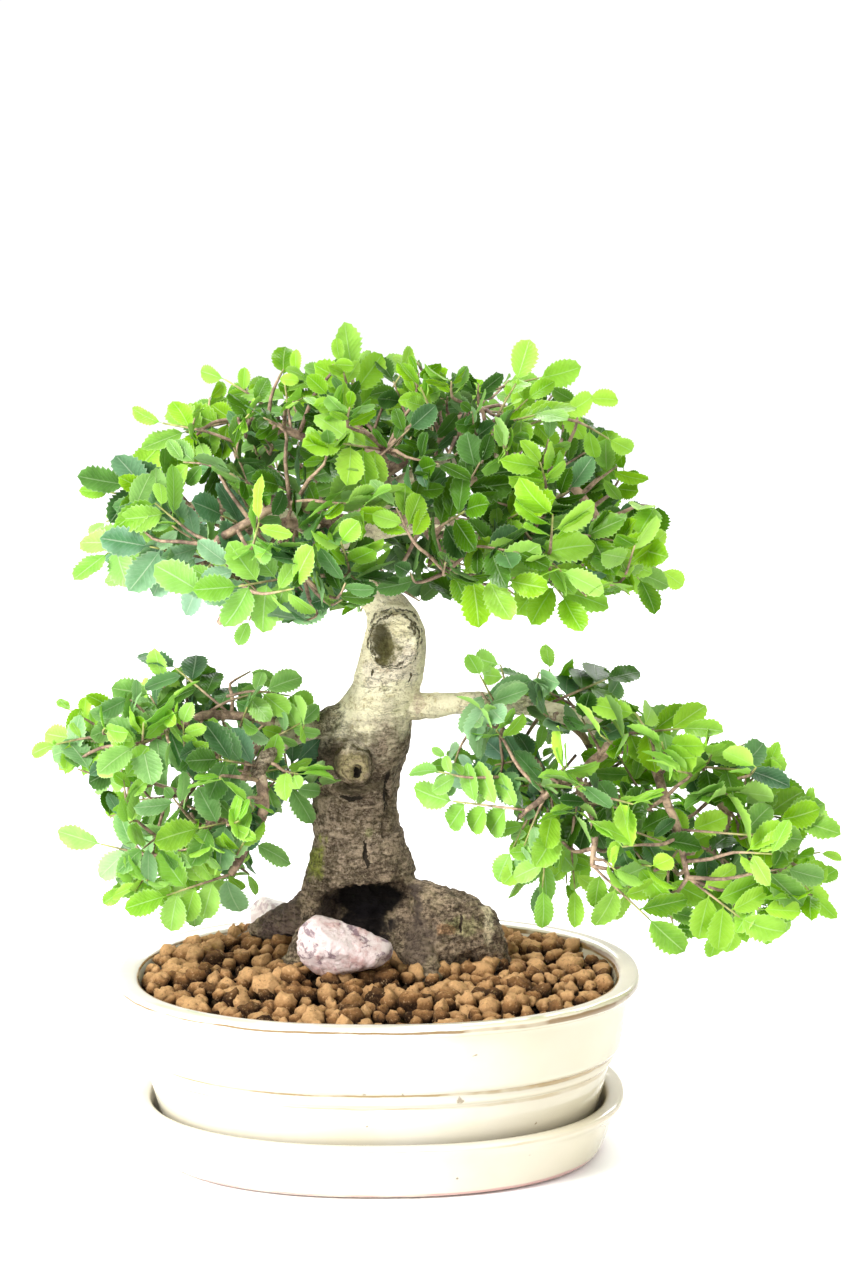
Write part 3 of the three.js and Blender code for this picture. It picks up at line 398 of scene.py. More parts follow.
# the lighter cooler tints are pale and washed, a painted sheen over the leaves' own blue-green; the pale of
# the margin is painted light, that of the veins their own colour
LEAF_TINTS = {  # darker, lighter, cooler darker, cooler lighter, vein and margin
    "young": ((0.19, 0.45, 0.004), (0.50, 0.78, 0.09), (0.20, 0.46, 0.05), (0.37, 0.66, 0.19),
              (0.60, 0.84, 0.34)),
    "mid": ((0.062, 0.215, 0.001), (0.34, 0.62, 0.016), (0.10, 0.26, 0.12), (0.42, 0.64, 0.48),
            (0.62, 0.80, 0.32)),
    "old": ((0.016, 0.062, 0.0), (0.115, 0.30, 0.008), (0.035, 0.125, 0.065), (0.26, 0.46, 0.35),
            (0.40, 0.58, 0.26)),
}


def leaf_material(name, tints, under):
    n = Nodes(name)
    *tints, pale = tints
    if under:
        tints = [tuple(0.76 * c + 0.24 * p for c, p in zip(tint, pale)) for tint in tints]
        pale = tuple(0.9 * p for p in pale)
    dark, light, cool_dark, cool_light = tints
    uv = n.make("UVMap", uv_map="leaf")
    across = abs(n.make("SeparateXYZ", {"Vector": uv}, "X") - 0.5) * 2.0
    along = n.make("SeparateXYZ", {"Vector": uv}, "Y")
    wave = n.math("PINGPONG", (along - across * 0.27) * 9.0, 0.5)
    side_vein = 1 - wave.ramp(0.02, 0.14)
    midrib = (1 - across.ramp(0.02, 0.07)) * 0.75
    veins = n.math("MAXIMUM", side_vein * 0.14, midrib, clamp=True)
    # painted light: the margin is lightened as if light shone through the thin edge of the blade
    margin = across.ramp(0.86, 1.0) * 0.8
    patchy = n.noise(240, 4, 0.6)
    # painted shade: the tone rises towards the margin, so the blade is darker along its midrib, as if shaded
    # in its fold
    tone = n.attribute("shade") * 0.72 + patchy * 0.6 + across.ramp(0.1, 1.0) * 0.28
    tone = tone.ramp(0.28, 1.22, "LINEAR")
    # cool mixes towards the blue-green tints, whose lighter ones carry a painted sheen; on such leaves the
    # pale of veins and margin turns whiter, a painted sheen too
    cool = n.attribute("cool")
    colour = n.mix(cool, n.mix(tone, dark, light), n.mix(tone, cool_dark, cool_light))
    rim = n.mix(cool, pale, tuple(0.4 * p + 0.5 for p in pale))
    colour = n.mix(n.math("MAXIMUM", veins, margin) * 0.5, colour, rim)
    normal = n.bump(veins * (0.5 if under else -0.7) + wave * 0.4 + patchy * 0.5, 0.35, 0.0006)
    body = n.principled(colour, 0.6 if under else 0.27, Specular_IOR_Level=0.12 if under else 0.22,
                        Normal=normal)
    glow = n.make("BsdfTranslucent", {"Color": n.mix(0.45, colour, light), "Normal": normal})
    return n.finish(n.make("MixShader", {0: 0.4, 1: body, 2: glow}))


def twig_material():
    """Pale bark where a branch is thick (0), brown where it is thin (1) and green at a shoot's tip (2)."""
    n = Nodes("twig_bark")
    thin = n.attribute("thin")
    flecks = n.noise(420, 5, 0.7)
    tone = n.noise(130, 4) * 0.5 + flecks * 0.5
    pale = n.mix(tone.ramp(0.38, 0.6), (0.46, 0.36, 0.21), (0.92, 0.82, 0.60))
    brown = n.mix(tone.ramp(0.38, 0.62), (0.10, 0.06, 0.038), (0.45, 0.31, 0.205))
    green = n.mix(tone.ramp(0.35, 0.65), (0.16, 0.17, 0.035), (0.40, 0.42, 0.13))
    colour = n.mix(thin.ramp(1.15, 1.9), n.mix(thin.ramp(0.1, 0.9), pale, brown), green)
    return n.finish(n.principled(colour, 0.72, Normal=n.bump(flecks, 0.6, 0.0006)))


BARK_TINTS_AND_SHADE = [  # centre, radii, colour, strength, raggedness
    # painted shade: the next two near-black tints fill the hollow over the stone
    ((-4, -20, 95), (19.5, 60, 9.8), (0.004, 0.003, 0.003), 0.98, 0.35),
    ((-5, -20, 85), (15, 60, 12), (0.008, 0.006, 0.007), 0.96, 0.5),
    # painted shade: the shadowed gap between the hollow and the right root
    ((16, -12, 82), (9, 30, 12), (0.09, 0.065, 0.055), 0.6, 1.3),
    ((-38, 28, 82), (20, 16, 13), (0.075, 0.048, 0.052), 0.75, 0.6),
    # painted shade: the hollow's dark left end
    ((-19, -2, 92), (7, 26, 12), (0.05, 0.036, 0.036), 0.75, 1.0),
    # painted shade: the scar hollow's deep left wall, which faces away from the light, tinted dark olive
    ((1.9, 2, 200.5), (5.2, 13, 10.5), (0.050, 0.043, 0.010), 0.92, 1.4),
    ((5.0, 2, 194.5), (6.5, 13, 5.5), (0.11, 0.095, 0.03), 0.85, 1.8),
    ((-1.6, -2, 188.3), (1.0, 16, 2.4), (0.06, 0.04, 0.014), 0.95, 1.0),
    ((12.8, -2, 186), (0.8, 16, 4.5), (0.10, 0.075, 0.03), 0.95, 1.2),
    ((7.0, 2, 197), (7.0, 13, 8.0), (0.20, 0.18, 0.07), 0.85, 1.8),
    ((9.0, 2, 206), (6.0, 13, 5.0), (0.90, 0.80, 0.46), 0.6, 1.4),
    ((-9.6, -4, 152.6), (7.8, 14, 7.8), (0.36, 0.31, 0.13), 0.7, 1.2),
    # painted shade: near black in the slot carved into the knot, and the next tint darkens the groove below
    # the knot
    ((-8.3, -4, 150.2), (1.6, 14, 2.7), (0.012, 0.009, 0.006), 0.97, 0.9),
    ((-9, 3, 142.6), (11, 12, 3.6), (0.06, 0.05, 0.022), 0.85, 1.2),
    ((-9, 3, 162.6), (9, 12, 3.0), (0.10, 0.085, 0.035), 0.7, 1.4),
    # painted shade: the next two darken the bark left of the knot, under the stub
    ((-19, 6, 168), (8.5, 14, 8), (0.050, 0.042, 0.018), 0.88, 1.3),
    ((-20, 4, 156), (6.5, 13, 9), (0.026, 0.022, 0.010), 0.9, 1.0),
    ((-25, 8, 112), (5.5, 9, 10), (0.30, 0.36, 0.03), 0.7, 1.8),
    ((-3, 2, 124), (3.5, 9, 3), (0.40, 0.42, 0.16), 0.5, 1.8),
    ((33, 2, 88), (8, 12, 5), (0.34, 0.35, 0.13), 0.45, 1.8),
    ((43, 4, 88), (2.2, 12, 9), (0.82, 0.70, 0.45), 0.75, 1.4),
    # painted shade: near black inside the crack carved in the right root
    ((32, -2, 89), (0.8, 16, 4.5), (0.03, 0.02, 0.014), 0.95, 1.3),
    # painted shade: the shadowed gap where the hollow meets the right root
    ((13, -2, 96), (4, 16, 8), (0.05, 0.037, 0.034), 0.8, 1.6),
    ((27, -2, 86), (4, 9, 3), (0.46, 0.23, 0.10), 0.5, 1.8),
    ((15.5, 6, 176), (2.2, 12, 5), (0.42, 0.24, 0.15), 0.5, 1.8),
    # painted shade: near black inside the crease carved up the trunk's front; the next tint darkens the bark
    # to its right, where the trunk turns from the light
    ((3.5, -2, 136), (2.0, 16, 14.5), (0.014, 0.010, 0.007), 0.96, 0.8),
    ((8, 3, 134), (5, 12, 15), (0.09, 0.07, 0.038), 0.7, 1.6),
    # painted shade: the next two darken the crack carved low on the trunk and the groove under the ledge
    ((-4.8, -2, 117), (0.9, 16, 6.5), (0.02, 0.015, 0.01), 0.95, 1.0),
    ((-11, -2, 138.6), (5.5, 16, 1.2), (0.02, 0.015, 0.01), 0.95, 1.0),
]
SHARP = 0.94  # a tint stronger than this has a hard edge
FLECKED_BELOW = 0.91  # a tint weaker than this is broken up by flecks
BARK_RINGS = [  # centre, radii, half thickness as a share, strength
    ((6.5, 0, 201.5), (9.0, 17, 10.6), 0.07, 0.9),
    ((6.8, 0, 201.5), (10.8, 19, 12.4), 0.05, 0.85),
    ((-9.6, -2, 152.6), (8.6, 16, 8.6), 0.10, 0.85),
    ((-9.0, -2, 151.2), (4.6, 14, 5.2), 0.07, 0.5),
]


def bark_material():
    """Pale and smooth above the side branches, brown-grey and wrinkled below them, dark near the soil, with
    painted shade in the hollow over the stone, the scar, the carved cracks and around the knot.
    """
    n = Nodes("trunk_bark")
    cloud = n.noise(45, 5, 0.62)
    patch = n.noise(110, 5, 0.65, 0.5)
    flecks = n.noise(680, 6, 0.78)
    wrinkle = n.noise(270, 6, 0.68, 0.5, (0.4, 0.4, 1.6))
    tone = flecks * 0.55 + wrinkle * 0.35 + patch * 0.1
    pale = n.tinted(n.mix(tone.ramp(0.39, 0.50), (0.60, 0.49, 0.25), (1.0, 0.92, 0.64)),
                    (patch, 0.55, 0.68, 0.4, (0.55, 0.50, 0.19)),
                    (cloud, 0.52, 0.66, 0.4, (0.92, 0.78, 0.70)))
    old = n.tinted(n.mix(tone.ramp(0.41, 0.59), (0.065, 0.045, 0.029), (0.43, 0.33, 0.23)),
                   (cloud, 0.46, 0.60, 0.32, (0.20, 0.155, 0.085)),
                   (flecks, 0.57, 0.68, 0.6, (0.76, 0.65, 0.52)))
    low = n.tinted(n.mix(tone.ramp(0.42, 0.60), (0.060, 0.042, 0.028), (0.40, 0.30, 0.195)),
                   (patch, 0.5, 0.62, 0.3, (0.15, 0.13, 0.055)),
                   (flecks, 0.58, 0.69, 0.6, (0.62, 0.50, 0.35)))
    ragged = cloud * 0.6 + patch * 0.4 - 0.5
    edge = n.axis("Z") + ragged * 0.08
    high = edge.ramp(0.155, 0.174)
    colour = n.mix(high, n.mix(edge.ramp(0.098, 0.122), low, old), pale)
    seam = abs(n.noise(130, 5, 0.7, stretch=(0.8, 0.8, 1.2)) - 0.5)
    fissure = (1 - seam.ramp(0.0, 0.014)) * cloud.ramp(0.48, 0.58)
    crease = (1 - abs(wrinkle - 0.47).ramp(0.0, 0.016)) * patch.ramp(0.42, 0.58)
    lines = n.math("MAXIMUM", fissure, crease * 0.7) * (1 - high * 0.45)
    colour = n.mix(lines * 0.85, colour, (0.022, 0.015, 0.009))
    fleck_breakup = 0.3 + flecks.ramp(0.42, 0.56) * 0.7
    # the tints are stains, moss and pale wood, and painted shade in hollows and cracks; the weaker ones are
    # broken up by flecks
    for centre, radii, tint, strength, loose in BARK_TINTS_AND_SHADE:
        around = n.near(centre, radii) + ragged * (2.4 * loose)
        share = (1 - around.ramp(0.84 if strength > SHARP else 0.6, 1.02)) * strength
        colour = n.mix(share * fleck_breakup if strength < FLECKED_BELOW else share, colour, tint)
    cracks = None
    for centre, radii, half, strength in BARK_RINGS:
        off = abs(n.near(centre, radii) + ragged * 1.1 - 1.0)
        line = (1 - off.ramp(half * 0.3, half)) * strength * n.noise(190, 4, 0.7).ramp(0.40, 0.52)
        cracks = n.math("MAXIMUM", cracks, line) if cracks else line
    colour = n.mix(cracks, colour, (0.055, 0.042, 0.012))
    normal = n.bump(flecks, 1.0, 0.0012, Normal=n.bump(wrinkle, 0.7, 0.0022))
    normal = n.bump(n.math("MAXIMUM", lines, cracks) * -1.0, 0.9, 0.0014, Normal=normal)
    return n.finish(n.principled(colour, 0.85, Specular_IOR_Level=0.15, Normal=normal))


def glaze_material(name, lines, bare_below, specks=()):
    """Cream glaze, with painted shade that makes it darker and yellower to the right and spreads its lines
    wider there; lines have a low, a high, a tint and a strength.
    """
    n = Nodes(name)
    cloud = n.noise(22, 4)
    colour = n.mix(cloud.ramp(0.3, 0.7), (0.61, 0.57, 0.45), (0.66, 0.63, 0.55))
    level = n.axis("Z") + (n.noise(60, 4) - 0.5) * 0.0016
    # painted shade: the pot's and tray's right side is darkened to a yellow olive and the lines widen there,
    # as if turned from the light
    right = n.axis("X").ramp(0.0, 0.095)
    colour = n.mix(right * 0.7, colour, (0.47, 0.41, 0.26))
    wider = 0.85 + right * 1.5
    for low, high, tint, strength in lines:
        reach = (high - low) / 2 * MM
        off = abs(level - (low + high) / 2 * MM) / wider
        broken = (1 - off.ramp(reach * 0.45, reach)) * (0.45 + n.noise(45, 3).ramp(0.35, 0.6))
        colour = n.mix(n.math("MULTIPLY", broken, strength, clamp=True), colour, tint)
    cells = n.make("TexVoronoi", {"Vector": n.place(), "Scale": 95}, "Distance")
    speck = (1 - cells.ramp(0.02, 0.075)) * n.noise(38, 2).ramp(0.58, 0.66)
    colour = n.mix(speck * 0.75, colour, (0.10, 0.05, 0.02))
    for centre, radius in specks:
        spot = n.near(centre, (radius, 3, radius)) + n.noise(700, 3) * 0.9
        colour = n.mix((1 - spot.ramp(0.8, 1.4)) * 0.8, colour, (0.20, 0.14, 0.07))
    bare = 1 - level.ramp((bare_below - 0.5) * MM, (bare_below + 0.3) * MM)
    colour = n.mix(bare, colour, (0.46, 0.27, 0.19))
    rough = n.make("MapRange", {"Value": bare + cloud * 0.12, "To Min": 0.1, "To Max": 0.62})
    return n.finish(n.principled(colour, rough, Normal=n.bump(n.noise(34, 3), 0.25, 0.0012),
                                 Coat_Weight=0.5, Coat_Roughness=0.06))


def granule_material(name, dark):
    n = Nodes(name)
    fine = n.noise(700, 6, 0.72)
    mixed = n.attribute("shade") * 0.8 + fine * 0.5
    colour = n.mix(mixed.ramp(0.2, 0.75, "LINEAR"), (0.016, 0.006, 0.002), (0.34, 0.165, 0.060))
    colour = n.mix(mixed.ramp(0.65, 1.15, "LINEAR"), colour, (0.80, 0.47, 0.21))
    colour = n.tinted(colour, (fine, 0.56, 0.68, 0.55, (0.84, 0.57, 0.31)),
                      (fine, 0.42, 0.34, 0.6, (0.05, 0.02, 0.008)))
    # painted shade: dark darkens the whole granule, for the shade in the gaps between the granules on top
    colour = n.mix(dark, colour, (0.008, 0.004, 0.002))
    return n.finish(n.principled(colour, 0.95, Specular_IOR_Level=0.15,
                                 Normal=n.bump(n.noise(420, 6, 0.75), 1.0, 0.0035)))


def quartz_material(name, white, pink, dark):
    n = Nodes(name)
    cloud = n.noise(75, 6, 0.68, 0.4)
    grit = n.noise(420, 6, 0.72)
    colour = n.mix((cloud * 0.72 + grit * 0.28).ramp(0.47, 0.60), white, pink)
    blot = n.noise(120, 5, 0.6, 0.8) * 0.6 + grit * 0.4
    colour = n.mix(blot.ramp(0.52, 0.59) * 0.85, colour, dark)
    earth = 1 - (n.axis("Z") + cloud * 0.012).ramp(0.079, 0.084)
    colour = n.mix(earth * 0.45, colour, (0.50, 0.33, 0.22))
    normal = n.bump(cloud, 0.5, 0.003, Normal=n.bump(grit, 0.7, 0.0009))
    return n.finish(n.principled(colour, 0.5, Normal=normal, Subsurface_Weight=0.12,
                                 Subsurface_Radius=(0.003, 0.002, 0.002), Subsurface_Scale=1.0))


def plain_material(name, scale, detail, first, second, rough, **more):
    """One colour with faint clouds in it."""
    n = Nodes(name)
    return n.finish(n.principled(n.mix(n.noise(scale, detail), first, second), rough, **more))


BROWN = (0.20, 0.125, 0.05)
SPECKS = [  # middle and radius
    ((36.9, -72.1, 59.3), 0.8), ((31.1, -67.9, 38.6), 1.7), ((-4.1, -72.7, 43.7), 1.3),
    ((10.3, -72, 43.4), 0.9), ((-2.4, -66.8, 28.8), 0.6), ((60.4, -51.8, 26), 0.9), ((-52, -60, 41), 1.0),
]
POT_GLAZE = glaze_material("pot_glaze", [(68.9, 70.1, BROWN, 1.0), (41.6, 43.2, (0.30, 0.21, 0.09), 0.9),
                                         (35.9, 37.0, (0.42, 0.33, 0.19), 0.55)], 8.0, SPECKS)
TRAY_GLAZE = glaze_material("tray_glaze", [(21.4, 22.1, (0.42, 0.32, 0.18), 0.4),
                                           (0.6, 2.2, (0.50, 0.30, 0.26), 0.8)], 0.6)
LEAF_MATERIALS = {
    age: [leaf_material(f"leaf_{age}_top", tints, False), leaf_material(f"leaf_{age}_under", tints, True)]
    for age, tints in LEAF_TINTS.items()
}
BARK = bark_material()
TWIG = twig_material()


# Pot and tray


def inset(half_length, *corners):
    """A profile from corners that lie so far in from the half length, at a height."""
    return [(half_length - away, height) for away, height in corners]


POT_OUTSIDE = inset(RIM_HALF_LENGTH, (18.5, POT_BASE), (11.5, 35.5), (12, 37), (9, 39), (9.9, 42.4),
                    (6.2, 44.2), (3, RIM_HEIGHT - 5), (0, RIM_HEIGHT - 3.5), (0, RIM_HEIGHT - 1),
                    (1.5, RIM_HEIGHT))
POT_INSIDE = inset(RIM_HALF_LENGTH, (8, RIM_HEIGHT - 0.3), (9.5, RIM_HEIGHT - 3.5), (21.5, POT_FLOOR + 2),
                   (25.5, POT_FLOOR))
TRAY_OUTSIDE = inset(TRAY_HALF_LENGTH, (11, 0), (8.5, 2), (3.5, TRAY_HEIGHT - 6.5), (0.8, TRAY_HEIGHT - 3.2),
                     (0, TRAY_HEIGHT - 1.5), (0.8, TRAY_HEIGHT))
TRAY_INSIDE = inset(TRAY_HALF_LENGTH, (6.5, TRAY_HEIGHT - 0.5), (8.2, TRAY_HEIGHT - 3.5), (11.8, 7),
                    (15, TRAY_FLOOR))
OVAL_SIDES = 144
FOOT_SIDES = 24
FOOT_EDGE = 1.5


def rounded(profile):
    """The profile with each corner cut twice, so that glaze rounds its edges."""
    points = [np.array(p, float) for p in profile]
    for share, most in ((0.3, 1.6), (0.28, 1.6 * 0.45)):
        new = [points[0]]
        for a, b, c in zip(points, points[1:], points[2:]):
            for other in (a, c):
                new.append(b + unit(other - b) * min(share * np.linalg.norm(other - b), most))
        points = new + [points[-1]]
    return points


def oval_point(half_length, turn, power=2 / OVAL_POWER):
    half_width = half_length - OVAL_DIFFERENCE * min(1.0, half_length / OVAL_FROM)
    c, s = np.cos(turn), np.sin(turn)
    return half_length * np.sign(c) * np.abs(c) ** power, half_width * np.sign(s) * np.abs(s) ** power


def oval_ring(half_length, height, sides):
    """A ring of the pot's shape; the height is a number, or a function of x and y."""
    x, y = oval_point(half_length, 2 * np.pi * np.arange(sides) / sides)
    return np.stack([x, y, height(x, y) if callable(height) else np.full(sides, height)], 1)


def oval_shell(outside, inside):
    profile = rounded([(0.01, outside[0][1]), *outside, *inside, (0.01, inside[-1][1])])
    rings = [oval_ring(max(half, 0.01), height, OVAL_SIDES) for half, height in profile]
    bottom = tuple(range(OVAL_SIDES))
    top = tuple((len(rings) - 1) * OVAL_SIDES + j for j in bottom)
    return np.vstack(rings), ring_faces(len(rings), OVAL_SIDES) + [bottom[::-1], top]


def foot(place, low, high):
    """A block with its upright edges and its bottom edge rounded."""
    turn = 2 * np.pi * np.arange(FOOT_SIDES) / FOOT_SIDES
    levels = [(-0.5, 0.7), (-0.42, 0.92), (-0.3, 1.0), (0.5, 1.0)]
    rings = []
    for level, spread in levels:
        x, y = (middle + np.sign(way) * np.abs(way) ** 0.45 * (size / 2 - FOOT_EDGE * (1 - spread))
                for middle, way, size in zip(place, (np.cos(turn), np.sin(turn)), FOOT_SIZE))
        rings.append(np.stack([x, y, np.full(FOOT_SIDES, (high + low) / 2 + level * (high - low))], 1))
    return np.vstack(rings), ring_faces(len(levels), FOOT_SIDES) + [tuple(range(FOOT_SIDES))[::-1]]


def make_pot_and_tray():
    feet = [foot(place, TRAY_FLOOR + CLEARANCE, POT_BASE + 2) for place in FOOT_PLACES]
    pot = joined([oval_shell(POT_OUTSIDE, POT_INSIDE), *feet])
    make_piece("pot_fine", pot, [POT_GLAZE], "glaze", ["pot"])
    make_piece("drip_tray_fine", oval_shell(TRAY_OUTSIDE, TRAY_INSIDE), [TRAY_GLAZE], "glaze", ["drip_tray"])
    plastic = plain_material("drainage_mesh_plastic", 400, 3, (0.012, 0.014, 0.015), (0.03, 0.035, 0.036),
                             0.55)
    for node in ("drainage_mesh_left", "drainage_mesh_right"):
        NODES[node].data.materials.clear()
        NODES[node].data.materials.append(plastic)


# Wood

SCAR_SWELLING = ((6.8, 4.5, 202), (10.6, 6.5, 13.5))  # middle and half sizes, as the next two
KNOT_SWELLING = ((-9.6, 4.6, 152.6), (7.9, 5.6, 7.9))
ROOT_SWELLING = ((23, 6, 79), (14, 8.5, 11))
SCAR = (6.3, 201.5, 9.3, 10.9, 7)  # middle x and z, half sizes, wobble, as the next two
KNOT = (-9.6, 152.6, 7.8, 7.8, 6)
KNOT_SLOT = (-8.3, 150.2, 1.5, 2.7, 5)
CRACKS = [(3.4, 122, 150, 0.9, 2.4), (-4.8, 110, 124, 0.7, 1.4), (32, 83, 95, 0.8, 1.6),
          (22, 84, 93, 0.8, 1.0)]  # x, low, high, width, depth
LEDGE_HEIGHT = 138.4
CAVE = (-3, 91, 20, 13.5, 13)  # middle x and z, half sizes, depth
SLIM = 2.4  # thinner branches aren't part of the trunk's mesh
VOXEL = 0.92


def wood_tube(rows, step, sides):
    rows = np.array(rows, float)
    points, radii = spline(rows[:, :3], rows[:, 3:], step)
    return tube(points, np.maximum(radii, 1.2), sides)


def ball(middle, radii, around=20, up=12):
    h = np.pi * np.arange(1, up)[:, None] / up
    t = 2 * np.pi * np.arange(around) / around
    rings = np.stack(np.broadcast_arrays(radii[0] * np.sin(h) * np.cos(t), radii[1] * np.sin(h) * np.sin(t),
                                         radii[2] * np.cos(h)), -1)
    ends = np.array([(0, 0, radii[2]), (0, 0, -radii[2])])
    faces = [(a, d, c, b) for a, b, c, d in ring_faces(up - 1, around)]
    return np.vstack([*rings, ends]) + middle, faces + [(a, c, b) for a, b, c in end_faces(up - 1, around)]


def remeshed(name, parts):
    """One skin round all parts, as a mesh."""
    mesh = new_mesh(name, *joined(parts))
    obj = add_object(name, mesh)
    modifier = obj.modifiers.new("remesh", "REMESH")
    modifier.mode = "VOXEL"
    modifier.voxel_size = VOXEL * MM
    soften = obj.modifiers.new("soften", "SMOOTH")
    soften.factor = 0.5
    soften.iterations = 4
    fine = bpy.data.meshes.new_from_object(obj.evaluated_get(bpy.context.evaluated_depsgraph_get()))
    bpy.data.objects.remove(obj)
    bpy.data.meshes.remove(mesh)
    return fine


def per_point(mesh, what):
    values = np.empty(len(mesh.vertices) * 3)
    mesh.vertices.foreach_get(what, values)
    return values.reshape(-1, 3)


def carve(place, normal):
    """Bark, scar, knot, cracks and the hollow over the stone, as moves of the trunk's points."""
    x, y, z = place.T
    front = smooth(0.15, -0.35, normal[:, 1])
    trunkness = smooth(24, 16, np.hypot(x + 6, (y - 17) * 0.8)) * smooth(222, 212, z)

    def ring(middle_x, middle_z, half_x, half_z, wobble):
        away = np.hypot((x - middle_x) / half_x, (z - middle_z) / half_z)
        return away * (1 + 0.10 * field(place, wobble, 9, octaves=2))

    rise = (field(place, 15, 1, (1, 1, 1.9)) * (0.5 + 0.8 * trunkness)
            + ridge(place, 7, 2, (1, 1, 2.2)) * (0.15 + 0.3 * smooth(205, 120, z))
            + field(place, 5.5, 11, (1.3, 1.3, 0.8)) * (0.25 + 0.45 * smooth(190, 130, z))
            + ridge(place, 3.2, 4, (2.0, 2.0, 0.7)) * 0.30 * smooth(176, 140, z)
            + ridge(place, 2.3, 6) * 0.22 * (0.5 + 0.5 * smooth(180, 120, z))
            + ridge(place, 4.5, 8, (1, 1, 0.9)) * 1.2 * smooth(112, 92, z) * smooth(0, 16, np.abs(x - 12)))
    scar, knot, slot = ring(*SCAR), ring(*KNOT), ring(*KNOT_SLOT)
    rise = rise + front * (z > 184) * (-(2.2 + 4.6 * smooth(9, -1, x)) * smooth(0.80, 0.40, scar)
                                       + 1.5 * bell(scar - 0.93, 0.12) - 0.8 * bell(scar - 1.10, 0.06)
                                       + 0.6 * bell(scar - 1.22, 0.08))
    rise = rise + front * (abs(z - 151) < 16) * (1.6 * smooth(0.95, 0.5, knot)
                                                 - 2.2 * bell(knot - 1.12, 0.11)
                                                 + 0.7 * bell(slot - 1.9, 0.5)
                                                 - 4.2 * smooth(1.25, 0.5, slot))
    for middle, low, high, width, deep in CRACKS:
        crack = bell(x - middle - 0.9 * np.sin(z * 0.31 + middle), width) * front
        rise = rise - deep * crack * smooth(low, low + 4, z) * smooth(high, high - 4, z)
    ledge = z - LEDGE_HEIGHT - 1.2 * np.sin(x * 0.3) - 0.6 * np.sin(x * 0.8)
    rise = rise - 1.5 * bell(ledge, 0.8) * front * smooth(0, -5, x)
    rise = rise + 0.6 * smooth(0, 4, ledge) * smooth(12, 6, ledge) * front * smooth(9, 3, x)
    moved = place + normal * rise[:, None]
    cave_x, cave_z, half_x, half_z, depth = CAVE
    cave = ((np.abs(x - cave_x) / half_x) ** 3 + (np.abs(z - cave_z) / half_z) ** 3) ** (1 / 3)
    cave = cave + 0.10 * field(moved, 4, 12)
    moved[:, 1] += depth * smooth(1.0, 0.78, cave) * front * (y < 14)
    return moved


def make_wood():
    parts = [wood_tube(TRUNK, 2.5, 40), *(wood_tube(root, 2.0, 20) for root in ROOTS),
             ball(*SCAR_SWELLING), ball(*KNOT_SWELLING), ball(*ROOT_SWELLING), wood_tube(STUB, 1.5, 20)]
    limbs = []
    for thick, thin, places in (branch for pad in BRANCHES.values() for branch in pad):
        steps = np.arange(len(places))
        points, radii = spline(places, thick + (thin - thick) * steps / steps[-1], 1.6)
        radii = radii[:, 0]
        if (radii > SLIM).sum() > 3:
            parts.append(tube(points[radii > SLIM], radii[radii > SLIM], 14))
        slim = 1 - smooth(SLIM, 3.0, radii)
        radii = radii * (1 + 0.13 * field(points, 8, 3) * slim) * (0.72 + 0.28 * slim)
        swing = np.stack([field(points, 14, seed, octaves=2) for seed in (5, 6, 7)], 1)
        ends = np.minimum(np.arange(len(points)), np.arange(len(points))[::-1])
        points = points + swing * (1.3 * smooth(0, 8, ends) * slim)[:, None]
        limbs.append(twig(points, radii, smooth(3.6, 1.7, radii), 9))
    mesh = remeshed("trunk", parts)
    place = carve(per_point(mesh, "co") / MM, per_point(mesh, "normal"))
    mesh.vertices.foreach_set("co", (place * MM).ravel())
    make_piece("trunk_and_roots", mesh, [BARK], "bark", ["tree_wood"])
    twig_piece("branches", limbs)


# Leaves

TEETH = 8
BLADE = 0.45  # thickness in its middle
WIDTHS = ([0, 0.06, 0.12, 0.2, 0.35, 0.5, 0.62, 0.75, 0.87, 0.95, 1],
          [0.03, 0.05, 0.34, 0.62, 0.88, 0.99, 1.0, 0.9, 0.66, 0.38, 0.0])


def leaf_rows():
    """Along, left half width and right half width; the left half has the deeper teeth."""
    rows = [(0.0, 0.03, 0.03), (0.08, 0.05, 0.05)]
    first, last = 0.12, 0.95
    for tooth in range(TEETH):
        start = first + (last - first) * tooth / TEETH
        tip = start + 0.74 * (last - first) / TEETH
        rows.append((start, 0.86 * np.interp(start, *WIDTHS), 0.90 * np.interp(start - 0.03, *WIDTHS)))
        rows.append((tip, 1.05 * np.interp(tip, *WIDTHS), 1.03 * np.interp(tip - 0.03, *WIDTHS)))
    blunt = 0.8 * np.interp(last, *WIDTHS)
    return np.array([*rows, (last, blunt, blunt), (1.0, 0.015, 0.015)])


def leaf_template():
    """The upper face has five points in a row and the lower one three; they meet at the margin."""
    points, faces, sides = [], [], []
    for hand, row in ((1, (-1.0, -0.52, 0.0, 0.52, 1.0)), (-1, (-1.0, 0.0, 1.0))):
        start, wide = len(points), len(row)
        rows = leaf_rows()
        for place, left, right in rows:
            points += [(place, column * (left if column < 0 else right), column, hand) for column in row]
        for a in (start + i * wide + j for i in range(len(rows) - 1) for j in range(wide - 1)):
            quad = (a, a + 1, a + wide + 1, a + wide)
            faces.append(quad if hand > 0 else quad[::-1])
            sides.append(0 if hand > 0 else 1)
    return np.array(points).T, faces, sides


(ALONG, ACROSS, COLUMN, FACE_SIDE), LEAF_FACES, LEAF_SIDES = leaf_template()
LEAF_CORNERS = np.array([i for face in LEAF_FACES for i in face])


